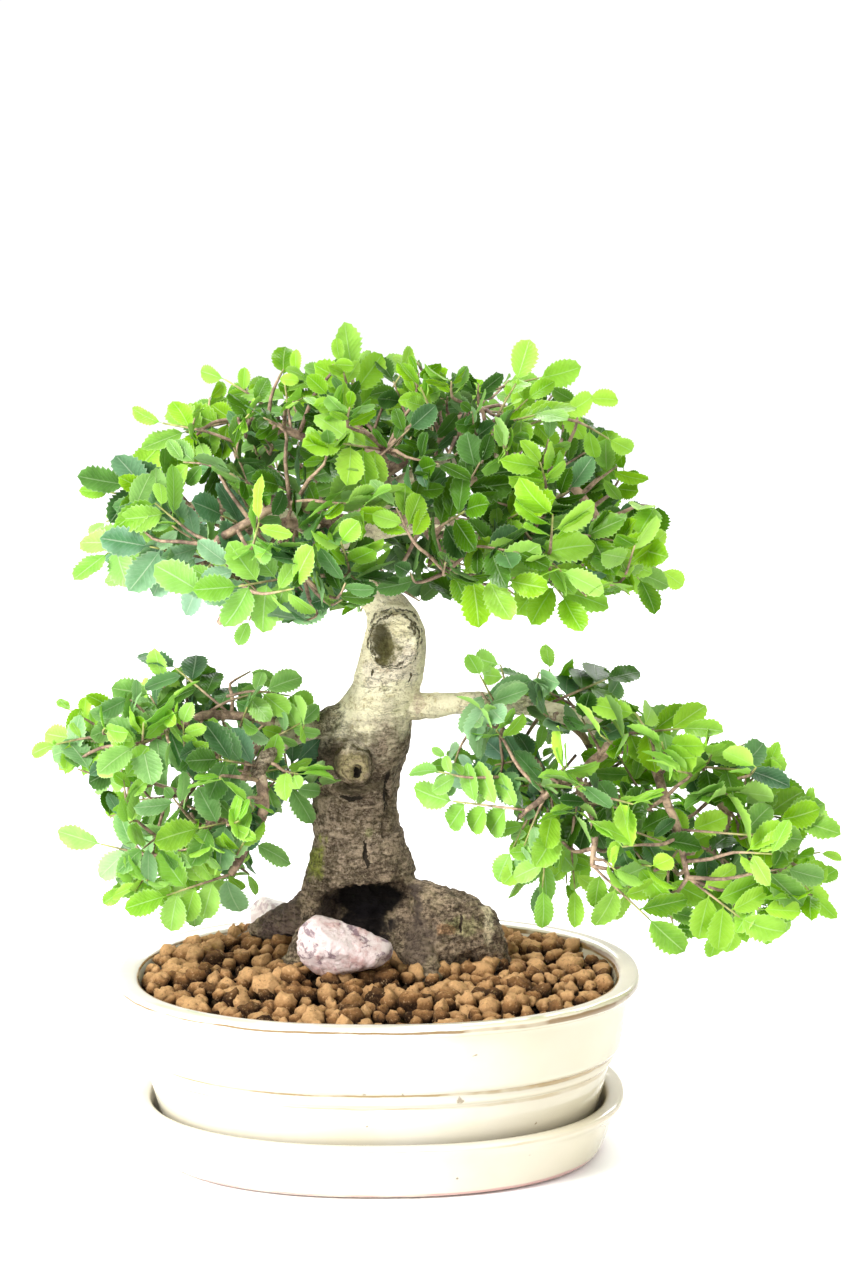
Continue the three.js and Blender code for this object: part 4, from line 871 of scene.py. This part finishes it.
def leaf_points(leaves, random):
    """Points of many leaves; each is base, axis, side, normal, length, half, shape, fold and droop."""
    n = len(leaves)
    base, axis, side, normal = (np.array([leaf[k] for leaf in leaves])[:, None, :]
                                for k in ("base", "axis", "side", "normal"))
    length, half, shape, fold, droop = (np.array([leaf[k] for leaf in leaves])[:, None]
                                        for k in ("length", "half", "shape", "fold", "droop"))
    bend = random.normal(0, 0.09, (n, 1))
    phase = random.uniform(0, 2 * np.pi, (n, 1))
    ruffle = random.uniform(0.02, 0.08, (n, 1))
    along = ALONG ** shape
    edge = np.abs(COLUMN)
    lift = fold * np.abs(ACROSS) * half - droop * along ** 2 * length
    lift = lift + ruffle * half * edge * np.sin(along * 14 + phase + np.sign(COLUMN) * 1.3)
    sway = bend * along ** 2 * length
    thick = FACE_SIDE * (BLADE / 2) * (1 - edge)
    return (base + axis * (along * length)[..., None] + side * (ACROSS * half + sway)[..., None]
            + normal * (lift + thick)[..., None])


def coolness(pad, points):
    """Share of blue in the older leaves, partly their own blue-green and partly a painted pale sheen: most at
    the crown's lower left.
    """
    x, z = points[:, 0], points[:, 2]
    if pad == "crown":
        return 0.06 + 0.9 * smooth(5, -60, x) * smooth(275, 235, z)
    return np.full(len(points), 0.35) if pad == "left" else 0.08 + 0.6 * smooth(90, 45, x)


def foliage_piece(leaves, pad, age, replaced, seed):
    random = np.random.default_rng(seed)
    points = leaf_points(leaves, random)
    n, per = points.shape[:2]
    faces = [tuple(i + k * per for i in face) for k in range(n) for face in LEAF_FACES]
    cool = coolness(pad, np.array([leaf["base"] for leaf in leaves])) + random.normal(0, 0.17, n)
    shade = random.normal(0.5, 0.27, n)
    piece = make_piece(f"leaves_{pad}_{age}", (points.reshape(-1, 3), faces), LEAF_MATERIALS[age],
                       f"leaf_{age}", replaced, cool=np.repeat(np.clip(cool, 0, 1), per),
                       shade=np.repeat(np.clip(shade, 0, 1), per))
    piece.data.polygons.foreach_set("material_index", np.array(LEAF_SIDES * n, np.int32))
    uv = np.stack([0.5 + 0.5 * COLUMN, ALONG], 1)[LEAF_CORNERS]
    piece.data.uv_layers.new(name="leaf").data.foreach_set("uv", np.tile(uv, (n, 1)).ravel())


CAD_THICKNESS = 0.66
CAD_FOLD = 0.18
CAD_DROOP = 0.1
CAD_CORNERS = np.array([(0.32, -0.82), (0.41, -0.74), (0.68, -0.97), (1, 0), (0.7, 0.93), (0.38, 0.88)])


def cad_leaves(obj):
    """The leaves of a shoot's solid, read from the short edges that join the two faces of each blade."""
    raw = np.array([v.co for v in obj.data.vertices]) / MM
    keys = [tuple(key) for key in np.round(raw, 3)]
    first = {}
    for key, p in zip(keys, raw):
        first.setdefault(key, p)
    places = np.array(list(first.values()))
    number = {key: i for i, key in enumerate(first)}
    edges = {tuple(sorted(number[keys[end]] for end in edge.vertices)) for edge in obj.data.edges}
    posts = [(a, b) for a, b in edges
             if a != b and abs(np.linalg.norm(places[a] - places[b]) - CAD_THICKNESS) < 0.004]

    def meet(a, b, c, d):
        return (min(a, c), max(a, c)) in edges and (min(b, d), max(b, d)) in edges

    linked = [[] for _ in posts]
    for i, (a, b) in enumerate(posts):
        for j, (c, d) in enumerate(posts[:i]):
            if meet(a, b, c, d) or meet(a, b, d, c):
                linked[i].append(j)
                linked[j].append(i)
    leaves, used = [], set()
    for i in range(len(posts)):
        if i in used or len(linked[i]) != 1:
            continue
        chain, before = [i], None
        while len(ahead := [j for j in linked[chain[-1]] if j != before]) == 1:
            before = chain[-1]
            chain.append(ahead[0])
        used.update(chain)
        if len(chain) == len(CAD_CORNERS):
            leaves.append(frame_of_leaf(np.array([places[list(posts[k])] for k in chain])))
    return leaves, places


def frame_of_leaf(posts):
    """Base, axis, side, normal and size from the corners of a blade, in order round it."""
    middle = posts.mean(1)
    normal = unit(posts[0, 1] - posts[0, 0])
    ends = (middle[0] + middle[-1]) / 2
    if np.linalg.norm(middle[2] - ends) > np.linalg.norm(middle[3] - ends):
        middle = middle[::-1]
    flat = middle - np.outer(middle @ normal, normal)
    known = np.column_stack([np.ones(len(CAD_CORNERS)), CAD_CORNERS])
    (base, ahead, out), *_ = np.linalg.lstsq(known, flat, rcond=None)
    if np.dot(np.cross(ahead, out), normal) < 0:
        normal = -normal
    length, half = np.linalg.norm(ahead), np.linalg.norm(out)
    rise = CAD_FOLD * np.abs(CAD_CORNERS[:, 1]) * half - CAD_DROOP * CAD_CORNERS[:, 0] ** 2 * length
    base = base + normal * np.mean(middle @ normal - rise)
    return {"base": base, "axis": ahead / length, "side": out / half, "normal": normal, "length": length,
            "half": half, "shape": 1.0, "fold": CAD_FOLD, "droop": CAD_DROOP}


def shoot_line(leaves, places):
    """Start and end of a shoot's stem."""
    bases = np.array([leaf["base"] for leaf in leaves])
    way = unit(np.linalg.svd(bases - bases.mean(0))[2][0]) if len(bases) > 1 else leaves[0]["axis"]
    if np.mean([np.dot(way, leaf["axis"]) for leaf in leaves]) < 0:
        way = -way
    first = bases[0]
    return first + way * ((places - first) @ way).min(), first + way * ((bases - first) @ way).max()


def in_pad(pad, point):
    middle, half, below, slope = PADS[pad]
    seen = np.array(point, float) - middle
    seen[2] -= slope * seen[0]
    return seen / np.array([half[0], half[1], half[2] if seen[2] > 0 else below])


def grow_leaves(base, way, facing, length, count, random, size):
    """Leaves left and right in turn along a stem, with one at its end."""
    normal = unit(facing - way * np.dot(facing, way))
    side = np.cross(normal, way)
    leaves = []
    for i in range(count):
        last = i == count - 1
        hand = 0 if last else (1 if i % 2 else -1)
        spread = hand * random.normal(1.0, 0.18) + (random.normal(0, 0.2) if last else 0)
        tilt = random.normal(0.12, 0.25)
        roll = hand * 0.3 + random.normal(0, 0.3)
        axis = way * math.cos(spread) + side * math.sin(spread)
        up = normal * math.cos(tilt) + axis * math.sin(tilt)
        axis = unit(axis * math.cos(tilt) - normal * math.sin(tilt))
        up = unit(up * math.cos(roll) + np.cross(up, axis) * math.sin(roll))
        place = 1.0 if last else (i + 0.75) / count
        growth = random.uniform(0.66, 1.22) * size
        leaves.append({
            "base": base + way * place * length, "axis": axis, "side": np.cross(up, axis), "normal": up,
            "length": growth, "half": 0.5 * growth * random.uniform(0.46, 0.73), "place": place,
            "shape": random.uniform(0.78, 1.12), "fold": random.uniform(0.05, 0.42),
            "droop": random.uniform(-0.04, 0.28),
        })
    return leaves


EXTRA_SHOOTS = {"crown": 245, "left": 80, "right": 95}
SPACING = {"crown": 12.6, "left": 9.6, "right": 10.8}
MOST_PLACES = 40000
START_REACH = (0.42, 0.92)  # how far out in a pad a shoot starts, as a share of its size
TIP_REACH = 1.1  # how far out in its pad an added leaf's tip may lie
WAYS_TRIED = 6
LEAVES_OF_SHOOT = (4, 8)
LEAST_LEAVES = 2
YOUNG_FROM = 0.97  # how far out a shoot's end lies, as a share of the pad's size
MIDDLE_FROM = 0.80
ROOM = 8.0  # how far an added leaf's tip may reach past the box of the solids
LOWEST_TIP = 79
LEAST_TWIG = 0.3
TWIG_SIDES = 5
SPRIGS = {  # single shoots where the photo shows leaves: x, z, heading in degrees, size, leaves
    "crown": [
        (-14, 314, 105, 8.5, 3), (-31, 309, 95, 14, 1), (-63, 304, 150, 12, 2), (-86, 289, 170, 14, 2),
        (-106, 263, 165, 13, 1), (-108, 247, 190, 10, 2), (50, 303, 80, 15, 1), (62, 300, 45, 14, 2),
        (77, 293, 20, 15, 2), (92, 279, -30, 12, 2), (114, 228, -20, 12, 3), (106, 242, 20, 13, 2),
        (12, 309, 60, 11, 2), (-98, 228, 200, 12, 2), (-50, 205, 255, 15, 2), (56, 309, 60, 15, 2),
        (69, 304, 15, 15, 2), (87, 294, 5, 14, 2),
    ],
    "left": [
        (-129, 161, 190, 11, 3), (-123, 175, 150, 9, 2), (-103, 102, 215, 13, 2), (-90, 99, 262, 14, 2),
        (-73, 91, 265, 14, 2), (-84, 190, 95, 12, 2), (-48, 182, 70, 12, 5), (-34, 177, 40, 11, 5),
        (-25, 173, 30, 11, 4), (-24, 141, -20, 17, 2), (-28, 153, 10, 15, 3), (-33, 134, -80, 16, 2),
        (-41, 120, -10, 14, 3), (-55, 105, -60, 14, 3), (-62, 170, 100, 12, 5), (-37, 184, 15, 13, 5),
        (-28, 179, -10, 12, 4), (-56, 102, -70, 14, 4),
    ],
    "right": [
        (36, 198, 118, 14, 1), (66, 193, 100, 12, 2), (153, 159, 60, 15, 3), (134, 81, 265, 17, 2),
        (151, 88, 260, 16, 2), (172, 100, -45, 14, 3), (178, 120, 10, 13, 2), (97, 98, 265, 14, 1),
        (63, 102, 265, 13, 2), (74, 97, 270, 14, 2), (54, 118, 250, 15, 4), (63, 110, 265, 15, 4),
        (71, 119, 280, 15, 4), (60, 128, 240, 14, 4), (79, 111, 270, 14, 3), (63, 163, 80, 14, 5),
        (100, 140, 60, 15, 5), (19, 155, 170, 9.5, 5), (27, 147, 250, 10, 5), (24, 160, 120, 9, 3),
        (55, 106, 262, 14, 4), (65, 98, 265, 14, 4), (77, 99, 275, 14, 3), (49, 116, 245, 13, 3),
        (69, 160, 40, 14, 5), (90, 161, 120, 14, 5), (124, 138, 60, 15, 5), (164, 130, 60, 15, 4),
        (126, 86, 258, 15, 2), (140, 82, 275, 15, 2), (161, 91, -70, 14, 2),
    ],
}


def seen_inside(pad, point):
    """Whether the front view shows a point inside its pad's outline."""
    share = -EYE[1] / (point[1] - EYE[1])
    x, z = EYE[0] + (point[0] - EYE[0]) * share, EYE[2] + (point[2] - EYE[2]) * share
    edge, within = EDGES[pad], False
    for (x1, z1), (x2, z2) in zip(edge, edge[1:] + edge[:1]):
        if (z1 > z) != (z2 > z) and x < (x2 - x1) * (z - z1) / (z2 - z1) + x1:
            within = not within
    return within


def fits(pad, leaf):
    tip, middle, near_tip = (leaf["base"] + leaf["axis"] * leaf["length"] * share
                             for share in (1.0, 0.6, 0.88))
    low, high = np.array(cad_box[0]) / MM - ROOM, np.array(cad_box[1]) / MM + ROOM
    if np.any(tip < low) or np.any(tip > high) or tip[2] < LOWEST_TIP:
        return False
    if np.linalg.norm(in_pad(pad, tip)) > TIP_REACH:
        return False
    return seen_inside(pad, middle) and seen_inside(pad, near_tip)


def extra_starts(pad, taken, random):
    """Places for more shoots: apart from each other and from the shoots of the solids."""
    middle, half, below, slope = PADS[pad]
    starts = []
    for _ in range(MOST_PLACES):
        if len(starts) >= EXTRA_SHOOTS[pad]:
            break
        way = unit(random.normal(size=3))
        reach = random.uniform(START_REACH[0] ** 2, START_REACH[1] ** 2) ** 0.5
        point = way * reach * np.array([half[0], half[1], half[2] if way[2] > 0 else below])
        point[2] += slope * point[0]
        point = point + middle
        if not seen_inside(pad, point):
            continue
        spacing = SPACING[pad] * (1 - 0.22 * (pad == "crown") * smooth(265, 292, point[2]))
        apart = all(np.linalg.norm(point - other) > spacing for other in starts)
        if apart and all(np.linalg.norm(point - other) > spacing * 0.6 for other in taken):
            starts.append(point)
    return starts


def leaf_size(pad, point):
    if pad == "crown":
        return 16.0 - 6.0 * smooth(248, 290, point[2])
    return 13.6 if pad == "left" else 13.6 + 3.2 * smooth(50, 120, point[0])


def try_shoot(pad, start, near, random):
    out = unit(in_pad(pad, start) / np.array(PADS[pad][1]) * 60)
    way = unit(out + 0.45 * unit(start - near) + 0.5 * random.normal(size=3) + 0.15 * UP)
    size = leaf_size(pad, start)
    length = size * random.uniform(0.8, 1.5)
    front = smooth(10, -25, start[1])
    facing = LIGHT_SIDE * (0.3 + 0.8 * front) + out * 0.7 + UP * 0.45 + 0.42 * random.normal(size=3)
    grown = grow_leaves(start, way, facing, length, int(random.integers(*LEAVES_OF_SHOOT)), random, size)
    return [leaf for leaf in grown if fits(pad, leaf)], way, length, out


class Foliage:
    """The leaves by pad and age, the twigs by pad, and the shoots of the solids that they replace."""

    def __init__(self):
        self.leaves, self.replaced = {}, {}
        self.twigs = {pad: [] for pad in PADS}

    def add(self, pad, age, leaves, points, radii, thin, step=3.5):
        self.leaves.setdefault((pad, age), []).extend(leaves)
        points, carried = spline(points, np.column_stack([radii, thin]), step)
        self.twigs[pad].append(twig(points, np.maximum(carried[:, 0], LEAST_TWIG), carried[:, 1], TWIG_SIDES))

    def add_shoots_of_solids(self):
        """Gives back the middle of each shoot, by pad."""
        slots = {entry["node"]: entry["material_slot"] for entry in frame["record"]["subparts"]}
        middles = {pad: [] for pad in PADS}
        for node in sorted(name for name in NODES if name.startswith("leafy_shoot")):
            pad, age = node.split("_")[2], slots[node].split("_")[1]
            self.replaced.setdefault((pad, age), []).append(node)
            leaves, places = cad_leaves(NODES[node])
            if leaves:
                start, end = shoot_line(leaves, places)
                middles[pad].append((start + end) / 2)
                self.add(pad, age, leaves, [start, (start + end) / 2, end], [0.62, 0.5, 0.36],
                         [1.0, 1.4, 1.9], 3)
        return middles

    def add_more_shoots(self, pad, taken, random):
        wood = np.vstack([spline(places, np.zeros(len(places)), 3.0)[0][4:]
                          for _, _, places in BRANCHES[pad]])
        for start in extra_starts(pad, taken, random):
            near = wood[np.argmin(np.linalg.norm(wood - start, axis=1))]
            tries = [try_shoot(pad, start, near, random) for _ in range(WAYS_TRIED)]
            grown, way, length, out = max(tries, key=lambda shoot: len(shoot[0]))
            if len(grown) < LEAST_LEAVES:
                continue
            score = np.linalg.norm(in_pad(pad, start + way * length)) + random.normal(0, 0.12)
            score = score - (0.09 if pad == "crown" and start[2] > 262 else 0)
            age = "young" if score > YOUNG_FROM else "mid" if score > MIDDLE_FROM else "old"
            if age == "old" and pad == "crown" and start[0] < -35 and start[2] < 255 and start[1] < 0:
                age = "mid"
            end = start + way * length * max(leaf["place"] for leaf in grown)
            bow = near + (start - near) * 0.5 + out * np.linalg.norm(start - near) * 0.12
            self.add(pad, age, grown, [near, bow, start, end], [0.95, 0.75, 0.6, 0.34],
                     [1, 1, 1.1, 2.0 if age == "young" else 1.5])

    def add_sprigs(self, pad, random):
        for x, z, heading, size, count in SPRIGS[pad]:
            turn = math.radians(heading)
            way = unit(np.array([math.cos(turn), random.normal(-0.1, 0.25), math.sin(turn)]))
            end = np.array([x, random.uniform(-22, 12), z]) - way * size * 0.5
            length = size * 1.15
            start = end - way * length
            near = start - way * 9 - 4 * unit(in_pad(pad, start) + 1e-6)
            facing = LIGHT_SIDE + 0.35 * random.normal(size=3)
            grown = grow_leaves(start, way, facing, length, count, random, size)
            age = "young" if count < 4 and pad != "left" or random.uniform() < 0.35 else "mid"
            self.add(pad, age, grown, [near, start, end], [0.7, 0.55, 0.34], [1, 1.2, 2.0])


def make_foliage():
    foliage = Foliage()
    middles = foliage.add_shoots_of_solids()
    for seed, pad in enumerate(PADS, 40):
        random = np.random.default_rng(seed)
        foliage.add_more_shoots(pad, middles[pad], random)
        foliage.add_sprigs(pad, random)
    for seed, (key, leaves) in enumerate(sorted(foliage.leaves.items()), 70):
        foliage_piece(leaves, *key, foliage.replaced.get(key, []), seed)
    for pad, twigs in foliage.twigs.items():
        twig_piece(f"twigs_{pad}", twigs)


# Soil and stones

# darkness is painted shade: the lower layer and the bed show through the gaps between the top granules
GRANULES = [  # piece, material, darkness, count, spacing, distance from the rim, depth, widths, detail, seed
    ("soil_granules", "granules", 0.0, 560, 5.3, 12.5, 1.2, (4.6, 9.2), 3, 300),
    ("soil_granules_below", "granules_below", 0.9, 900, 4.8, 13.0, 6.0, (4.6, 7.0), 1, 500),
]
SHAPES_OF_LUMPS = 24
PLANES_OF_LUMP = 16
BED_SIDES = 96
BED_EDGE = RIM_HALF_LENGTH - 10.5


def soil_height(x, y):
    away = ((x - MOUND[0]) / MOUND[2]) ** 2 + ((y - MOUND[1]) / MOUND[3]) ** 2
    return SOIL_EDGE + MOUND[4] * np.exp(-away)


def icosphere(level):
    ball_mesh = bmesh.new()
    bmesh.ops.create_icosphere(ball_mesh, subdivisions=level, radius=1.0)
    points = np.array([point.co for point in ball_mesh.verts])
    faces = [tuple(point.index for point in face.verts) for face in ball_mesh.faces]
    ball_mesh.free()
    return points, faces


def faceted(points, ways, levels, blunt):
    """Each point of a unit sphere drawn in to the nearest of the planes that face it, with blunt edges."""
    reach = np.maximum(points @ ways.T, 1e-3) / levels
    return points / (np.sum(reach ** blunt, axis=1) ** (1 / blunt))[:, None]


def lumps(level, count, seed):
    """Differently shaped angular lumps about one unit in radius."""
    points, faces = icosphere(level)
    random = np.random.default_rng(seed)
    out = []
    for k in range(seed, seed + count):
        ways = unit(random.normal(size=(PLANES_OF_LUMP, 3)))
        lump = faceted(points, ways, random.uniform(0.72, 1.0, PLANES_OF_LUMP), 14)
        lump = lump * np.minimum(1, 1.18 / np.linalg.norm(lump, axis=1))[:, None]
        push = (1 + 0.15 * field(points, 0.9, k, octaves=2) + 0.21 * field(points, 0.36, k + 40)
                + 0.08 * ridge(points, 0.2, k + 80))
        out.append(lump * push[:, None])
    return out, faces


def grains(level, places, widths, seed):
    random = np.random.default_rng(seed)
    shapes, faces = lumps(level, SHAPES_OF_LUMPS, seed)
    parts, shade = [], []
    for place, width in zip(places, widths):
        shape = shapes[int(random.integers(len(shapes)))]
        turn = np.array(Matrix.Rotation(random.uniform(0, 6.28), 3, Vector(unit(random.normal(size=3)))))
        turned = (shape * (width / 2 * random.uniform(0.82, 1.22, 3))) @ turn.T
        parts.append((turned + place, faces))
        # painted shade: a granule's lower points get a lower shade value, so it darkens towards the bottom
        # where it sits among the others; the rest is a random tone
        shade.append(np.clip(random.normal(0.54, 0.36) + 1.3 * (turned[:, 2] / width - 0.2), 0, 1))
    return joined(parts), np.concatenate(shade)


def scatter(count, spacing, reach, sink, random, widths):
    """Places and widths for granules inside the pot's mouth, at least a spacing apart."""
    cell = spacing / math.sqrt(2)
    grid, places, chosen = {}, [], []
    for _ in range(count * 60):
        if len(places) >= count:
            break
        x, y = random.uniform(-reach, reach), random.uniform(-reach, reach)
        if abs(x / reach) ** OVAL_POWER + abs(y / (reach - OVAL_DIFFERENCE)) ** OVAL_POWER > 1:
            continue
        i, j = int(x // cell), int(y // cell)
        around = [grid.get((i + a, j + b)) for a in range(-2, 3) for b in range(-2, 3)]
        if any((x - near[0]) ** 2 + (y - near[1]) ** 2 < spacing ** 2 for near in around if near):
            continue
        grid[i, j] = (x, y)
        chosen.append(widths[0] + (widths[1] - widths[0]) * random.uniform() ** 1.6)
        places.append((x, y, soil_height(x, y) - sink + random.normal(0, 0.8)))
    return np.array(places), chosen


def make_soil():
    random = np.random.default_rng(12)
    for name, material, dark, count, spacing, away, sink, widths, level, seed in GRANULES:
        places, chosen = scatter(count, spacing, RIM_HALF_LENGTH - away, sink, random, widths)
        shape, shade = grains(level, places, chosen, seed)
        make_piece(name, shape, [granule_material(material, dark)], "soil", shade=shade)
    bottom = POT_FLOOR + CLEARANCE
    rings = [oval_ring(half, height, BED_SIDES)
             for half, height in ((0.01, bottom), (RIM_HALF_LENGTH - 26, bottom),
                                  (RIM_HALF_LENGTH - 22, POT_FLOOR + 3), (BED_EDGE, SOIL_EDGE - 5))]
    rings += [oval_ring(BED_EDGE * share, lambda x, y: soil_height(x, y) - 5.5, BED_SIDES)
              for share in (0.85, 0.65, 0.45, 0.25, 0.01)]
    # painted shade: the bed is darkened to the shade between the granules
    make_piece("soil_bed", (np.vstack(rings), ring_faces(len(rings), BED_SIDES)),
               [granule_material("bed", 0.93)], "soil", ["soil"])


FRONT_MIDDLE = (-14, -14, 83.8)
FRONT_DEPTH = 10.5
FLAT_FACES = 5  # on the front, and as many on the back
FRONT_OUTLINE = [  # of the stone in front of the trunk, as x and z
    (-33.8, 87.2), (-32.3, 91.4), (-29.3, 93.6), (-23.4, 96.6), (-15.7, 94.9), (5.4, 86.2), (6.4, 81.7),
    (1.4, 76.1), (-8.1, 73.1), (-20.6, 71.6), (-25.4, 73.4), (-31.2, 80.1),
]
BACK_MIDDLE = (-41, 48, 77)
BACK_HALF = (10.2, 7.5, 8.6)
PINK_QUARTZ = ((0.54, 0.45, 0.43), (0.40, 0.255, 0.235), (0.13, 0.075, 0.095))  # ground, veins, blots
PALE_QUARTZ = ((0.70, 0.64, 0.60), (0.60, 0.49, 0.46), (0.38, 0.28, 0.28))


def rock(name, level, middle, scale, planes, seed, material, slot, replaced):
    """A broken stone: planes is an array of directions and distances from its middle."""
    points, faces = icosphere(level)
    cut = faceted(points, planes[:, :3], planes[:, 3], 26)
    push = 1 + 0.06 * field(points, 0.45, seed) + 0.035 * ridge(points, 0.16, seed)
    make_piece(name, (cut * push[:, None] * np.array(scale) + np.array(middle), faces),
               [material], slot, [replaced])


def outline_planes(random):
    """Two planes through each edge of an outline, leaning to the front and to the back, and broken faces."""
    planes = []
    for (x1, z1), (x2, z2) in zip(FRONT_OUTLINE, FRONT_OUTLINE[1:] + FRONT_OUTLINE[:1]):
        across = unit(np.array([z1 - z2, 0, x2 - x1]))
        away = np.dot(across, [x1 - FRONT_MIDDLE[0], 0, z1 - FRONT_MIDDLE[2]])
        if away < 0:
            across, away = -across, -away
        for lean in (random.uniform(-0.75, -0.2), random.uniform(0.2, 0.7)):
            way = np.array([across[0], lean, across[2]])
            planes.append([*unit(way), away / np.linalg.norm(way)])
    for hand in FLAT_FACES * [-1] + FLAT_FACES * [1]:
        way = unit(np.array([random.normal(0, 0.42), hand, random.normal(0, 0.42)]))
        planes.append([*way, FRONT_DEPTH * random.uniform(0.82, 1.0)])
    return np.array(planes)


def make_stones():
    random = np.random.default_rng(5)
    rock("quartz_front_fine", 5, FRONT_MIDDLE, (1, 1, 1), outline_planes(random), 21,
         quartz_material("quartz_pink", *PINK_QUARTZ), "quartz", "quartz_front")
    planes = np.column_stack([unit(random.normal(size=(18, 3))), random.uniform(0.8, 1.0, 18)])
    rock("quartz_back_fine", 4, BACK_MIDDLE, BACK_HALF, planes, 22,
         quartz_material("quartz_pale", *PALE_QUARTZ), "quartz_pale", "quartz_back")


# Stage, light and camera, in metres

FLOOR = [(-6, -6, -0.0002), (6, -6, -0.0002), (6, 9, -0.0002), (-6, 9, -0.0002)]
LIGHTS = [  # name, place, size, power and what it aims at
    ("key", (-1.15, -1.2, 1.45), 0.7, 58, (0, 0, 0.15)),
    ("side", (-1.2, -0.6, 0.26), 0.5, 13, (0, 0, 0.18)),
    ("fill", (1.4, -1.2, 0.9), 1.2, 6, (0, 0, 0.15)),
    ("back", (0.3, 1.4, 1.3), 1.2, 24, (0, 0, 0.2)),
]
WORLD_LIGHT = 1.05
CAMERA_LENS = 85
CAMERA_TILT = 79.9


def make_stage():
    mesh = bpy.data.meshes.new("floor")
    mesh.from_pydata(FLOOR, [], [(0, 1, 2, 3)])
    mesh.materials.append(plain_material("floor_white", 3, 2, 3 * (0.975,), 3 * (0.985,), 0.6,
                                         Specular_IOR_Level=0.1))
    add_object("floor", mesh)
    world = bpy.data.worlds.new("studio")
    bpy.context.scene.world = world
    world.use_nodes = True
    background = world.node_tree.nodes["Background"]
    background.inputs["Color"].default_value = (1.0, 1.0, 1.0, 1)
    background.inputs["Strength"].default_value = WORLD_LIGHT
    for name, place, size, power, aim in LIGHTS:
        lamp = add_object(name, bpy.data.lights.new(name, "AREA"))
        lamp.data.size = size
        lamp.data.energy = power
        lamp.location = place
        lamp.rotation_euler = (Vector(aim) - Vector(place)).to_track_quat("-Z", "Y").to_euler()
    bpy.context.scene.view_settings.view_transform = "Standard"


def make_camera():
    camera = add_object("camera", bpy.data.cameras.new("camera"))
    camera.data.lens = CAMERA_LENS
    camera.data.sensor_fit = "VERTICAL"
    camera.data.sensor_height = 36
    camera.location = EYE * MM
    camera.rotation_euler = (math.radians(CAMERA_TILT), 0, 0)
    bpy.context.scene.camera = camera


make_camera()
make_stage()
make_pot_and_tray()
make_wood()
make_foliage()
make_soil()
make_stones()
